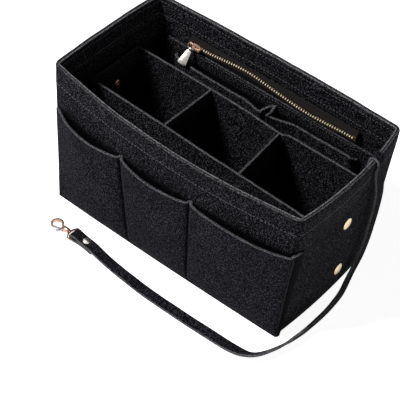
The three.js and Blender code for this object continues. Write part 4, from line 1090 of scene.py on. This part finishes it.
studioLook = {
    "floorSize": 24, "floor": "#f4f4f4", "keyPlace": (-1.05, -1.35, 2.2), "keySize": 0.55, "keyShare": 0.95,
    "fillPlace": (2.3, -0.9, 0.35), "fillSize": 0.9, "fillShare": 0.17, "ambient": 0.006, "floorGlow": 0.93,
}


def softLamp(name, place, size, share):          # share 1 shows a colour facing it as it is written
    place = Vector(place)
    data = bpy.data.lights.new(name, "AREA")
    data.size = size
    data.energy = share * (math.pi * place.length) ** 2
    turn = place.to_track_quat("Z", "Y").to_matrix().to_4x4()
    addObject(name, data).matrix_world = Matrix.Translation(place) @ turn


def seenDirectly(tree):                # 1 where the camera sees it, also in a reflection or through glass
    path = addNode(tree, "ShaderNodeLightPath")
    direct = addNode(tree, "ShaderNodeMath", {"operation": "MAXIMUM"}, {
        0: path.outputs["Is Camera Ray"], 1: path.outputs["Is Glossy Ray"]})
    return addNode(tree, "ShaderNodeMath", {"operation": "MAXIMUM"}, {
        0: direct.outputs["Value"], 1: path.outputs["Is Transmission Ray"]}).outputs["Value"]


def makeFloor():
    look = studioLook
    material, tree = startMaterial("white_paper_floor")
    paper = addNode(tree, "ShaderNodeBsdfDiffuse", links={"Color": linear(look["floor"])})
    strength = addNode(tree, "ShaderNodeMath", {"operation": "MULTIPLY"}, {
        0: seenDirectly(tree), 1: look["floorGlow"]})
    glow = addNode(tree, "ShaderNodeEmission", links={"Strength": strength.outputs["Value"]})
    both = addNode(tree, "ShaderNodeAddShader", links={
        0: paper.outputs["BSDF"], 1: glow.outputs["Emission"]})
    addNode(tree, "ShaderNodeOutputMaterial", links={"Surface": both.outputs["Shader"]})
    bm = bmesh.new()
    bmesh.ops.create_grid(bm, x_segments=1, y_segments=1, size=look["floorSize"] / 2)
    mesh = meshFrom("floor", bm)
    mesh.materials.append(material)
    floor = addObject("floor", mesh)


def makeWorld():
    world = bpy.data.worlds.new("studio")
    bpy.context.scene.world = world
    world.use_nodes = True
    tree = world.node_tree
    tree.nodes.clear()
    strength = addNode(tree, "ShaderNodeMapRange", links={
        "Value": seenDirectly(tree), "To Min": studioLook["ambient"], "To Max": 1})
    sky = addNode(tree, "ShaderNodeBackground", links={"Strength": strength.outputs["Result"]})
    addNode(tree, "ShaderNodeOutputWorld", links={"Surface": sky.outputs["Background"]})


makeFloor()
makeWorld()
softLamp("key_lamp", studioLook["keyPlace"], studioLook["keySize"], studioLook["keyShare"])
softLamp("fill_lamp", studioLook["fillPlace"], studioLook["fillSize"], studioLook["fillShare"])
bpy.context.scene.view_settings.view_transform = "Standard"
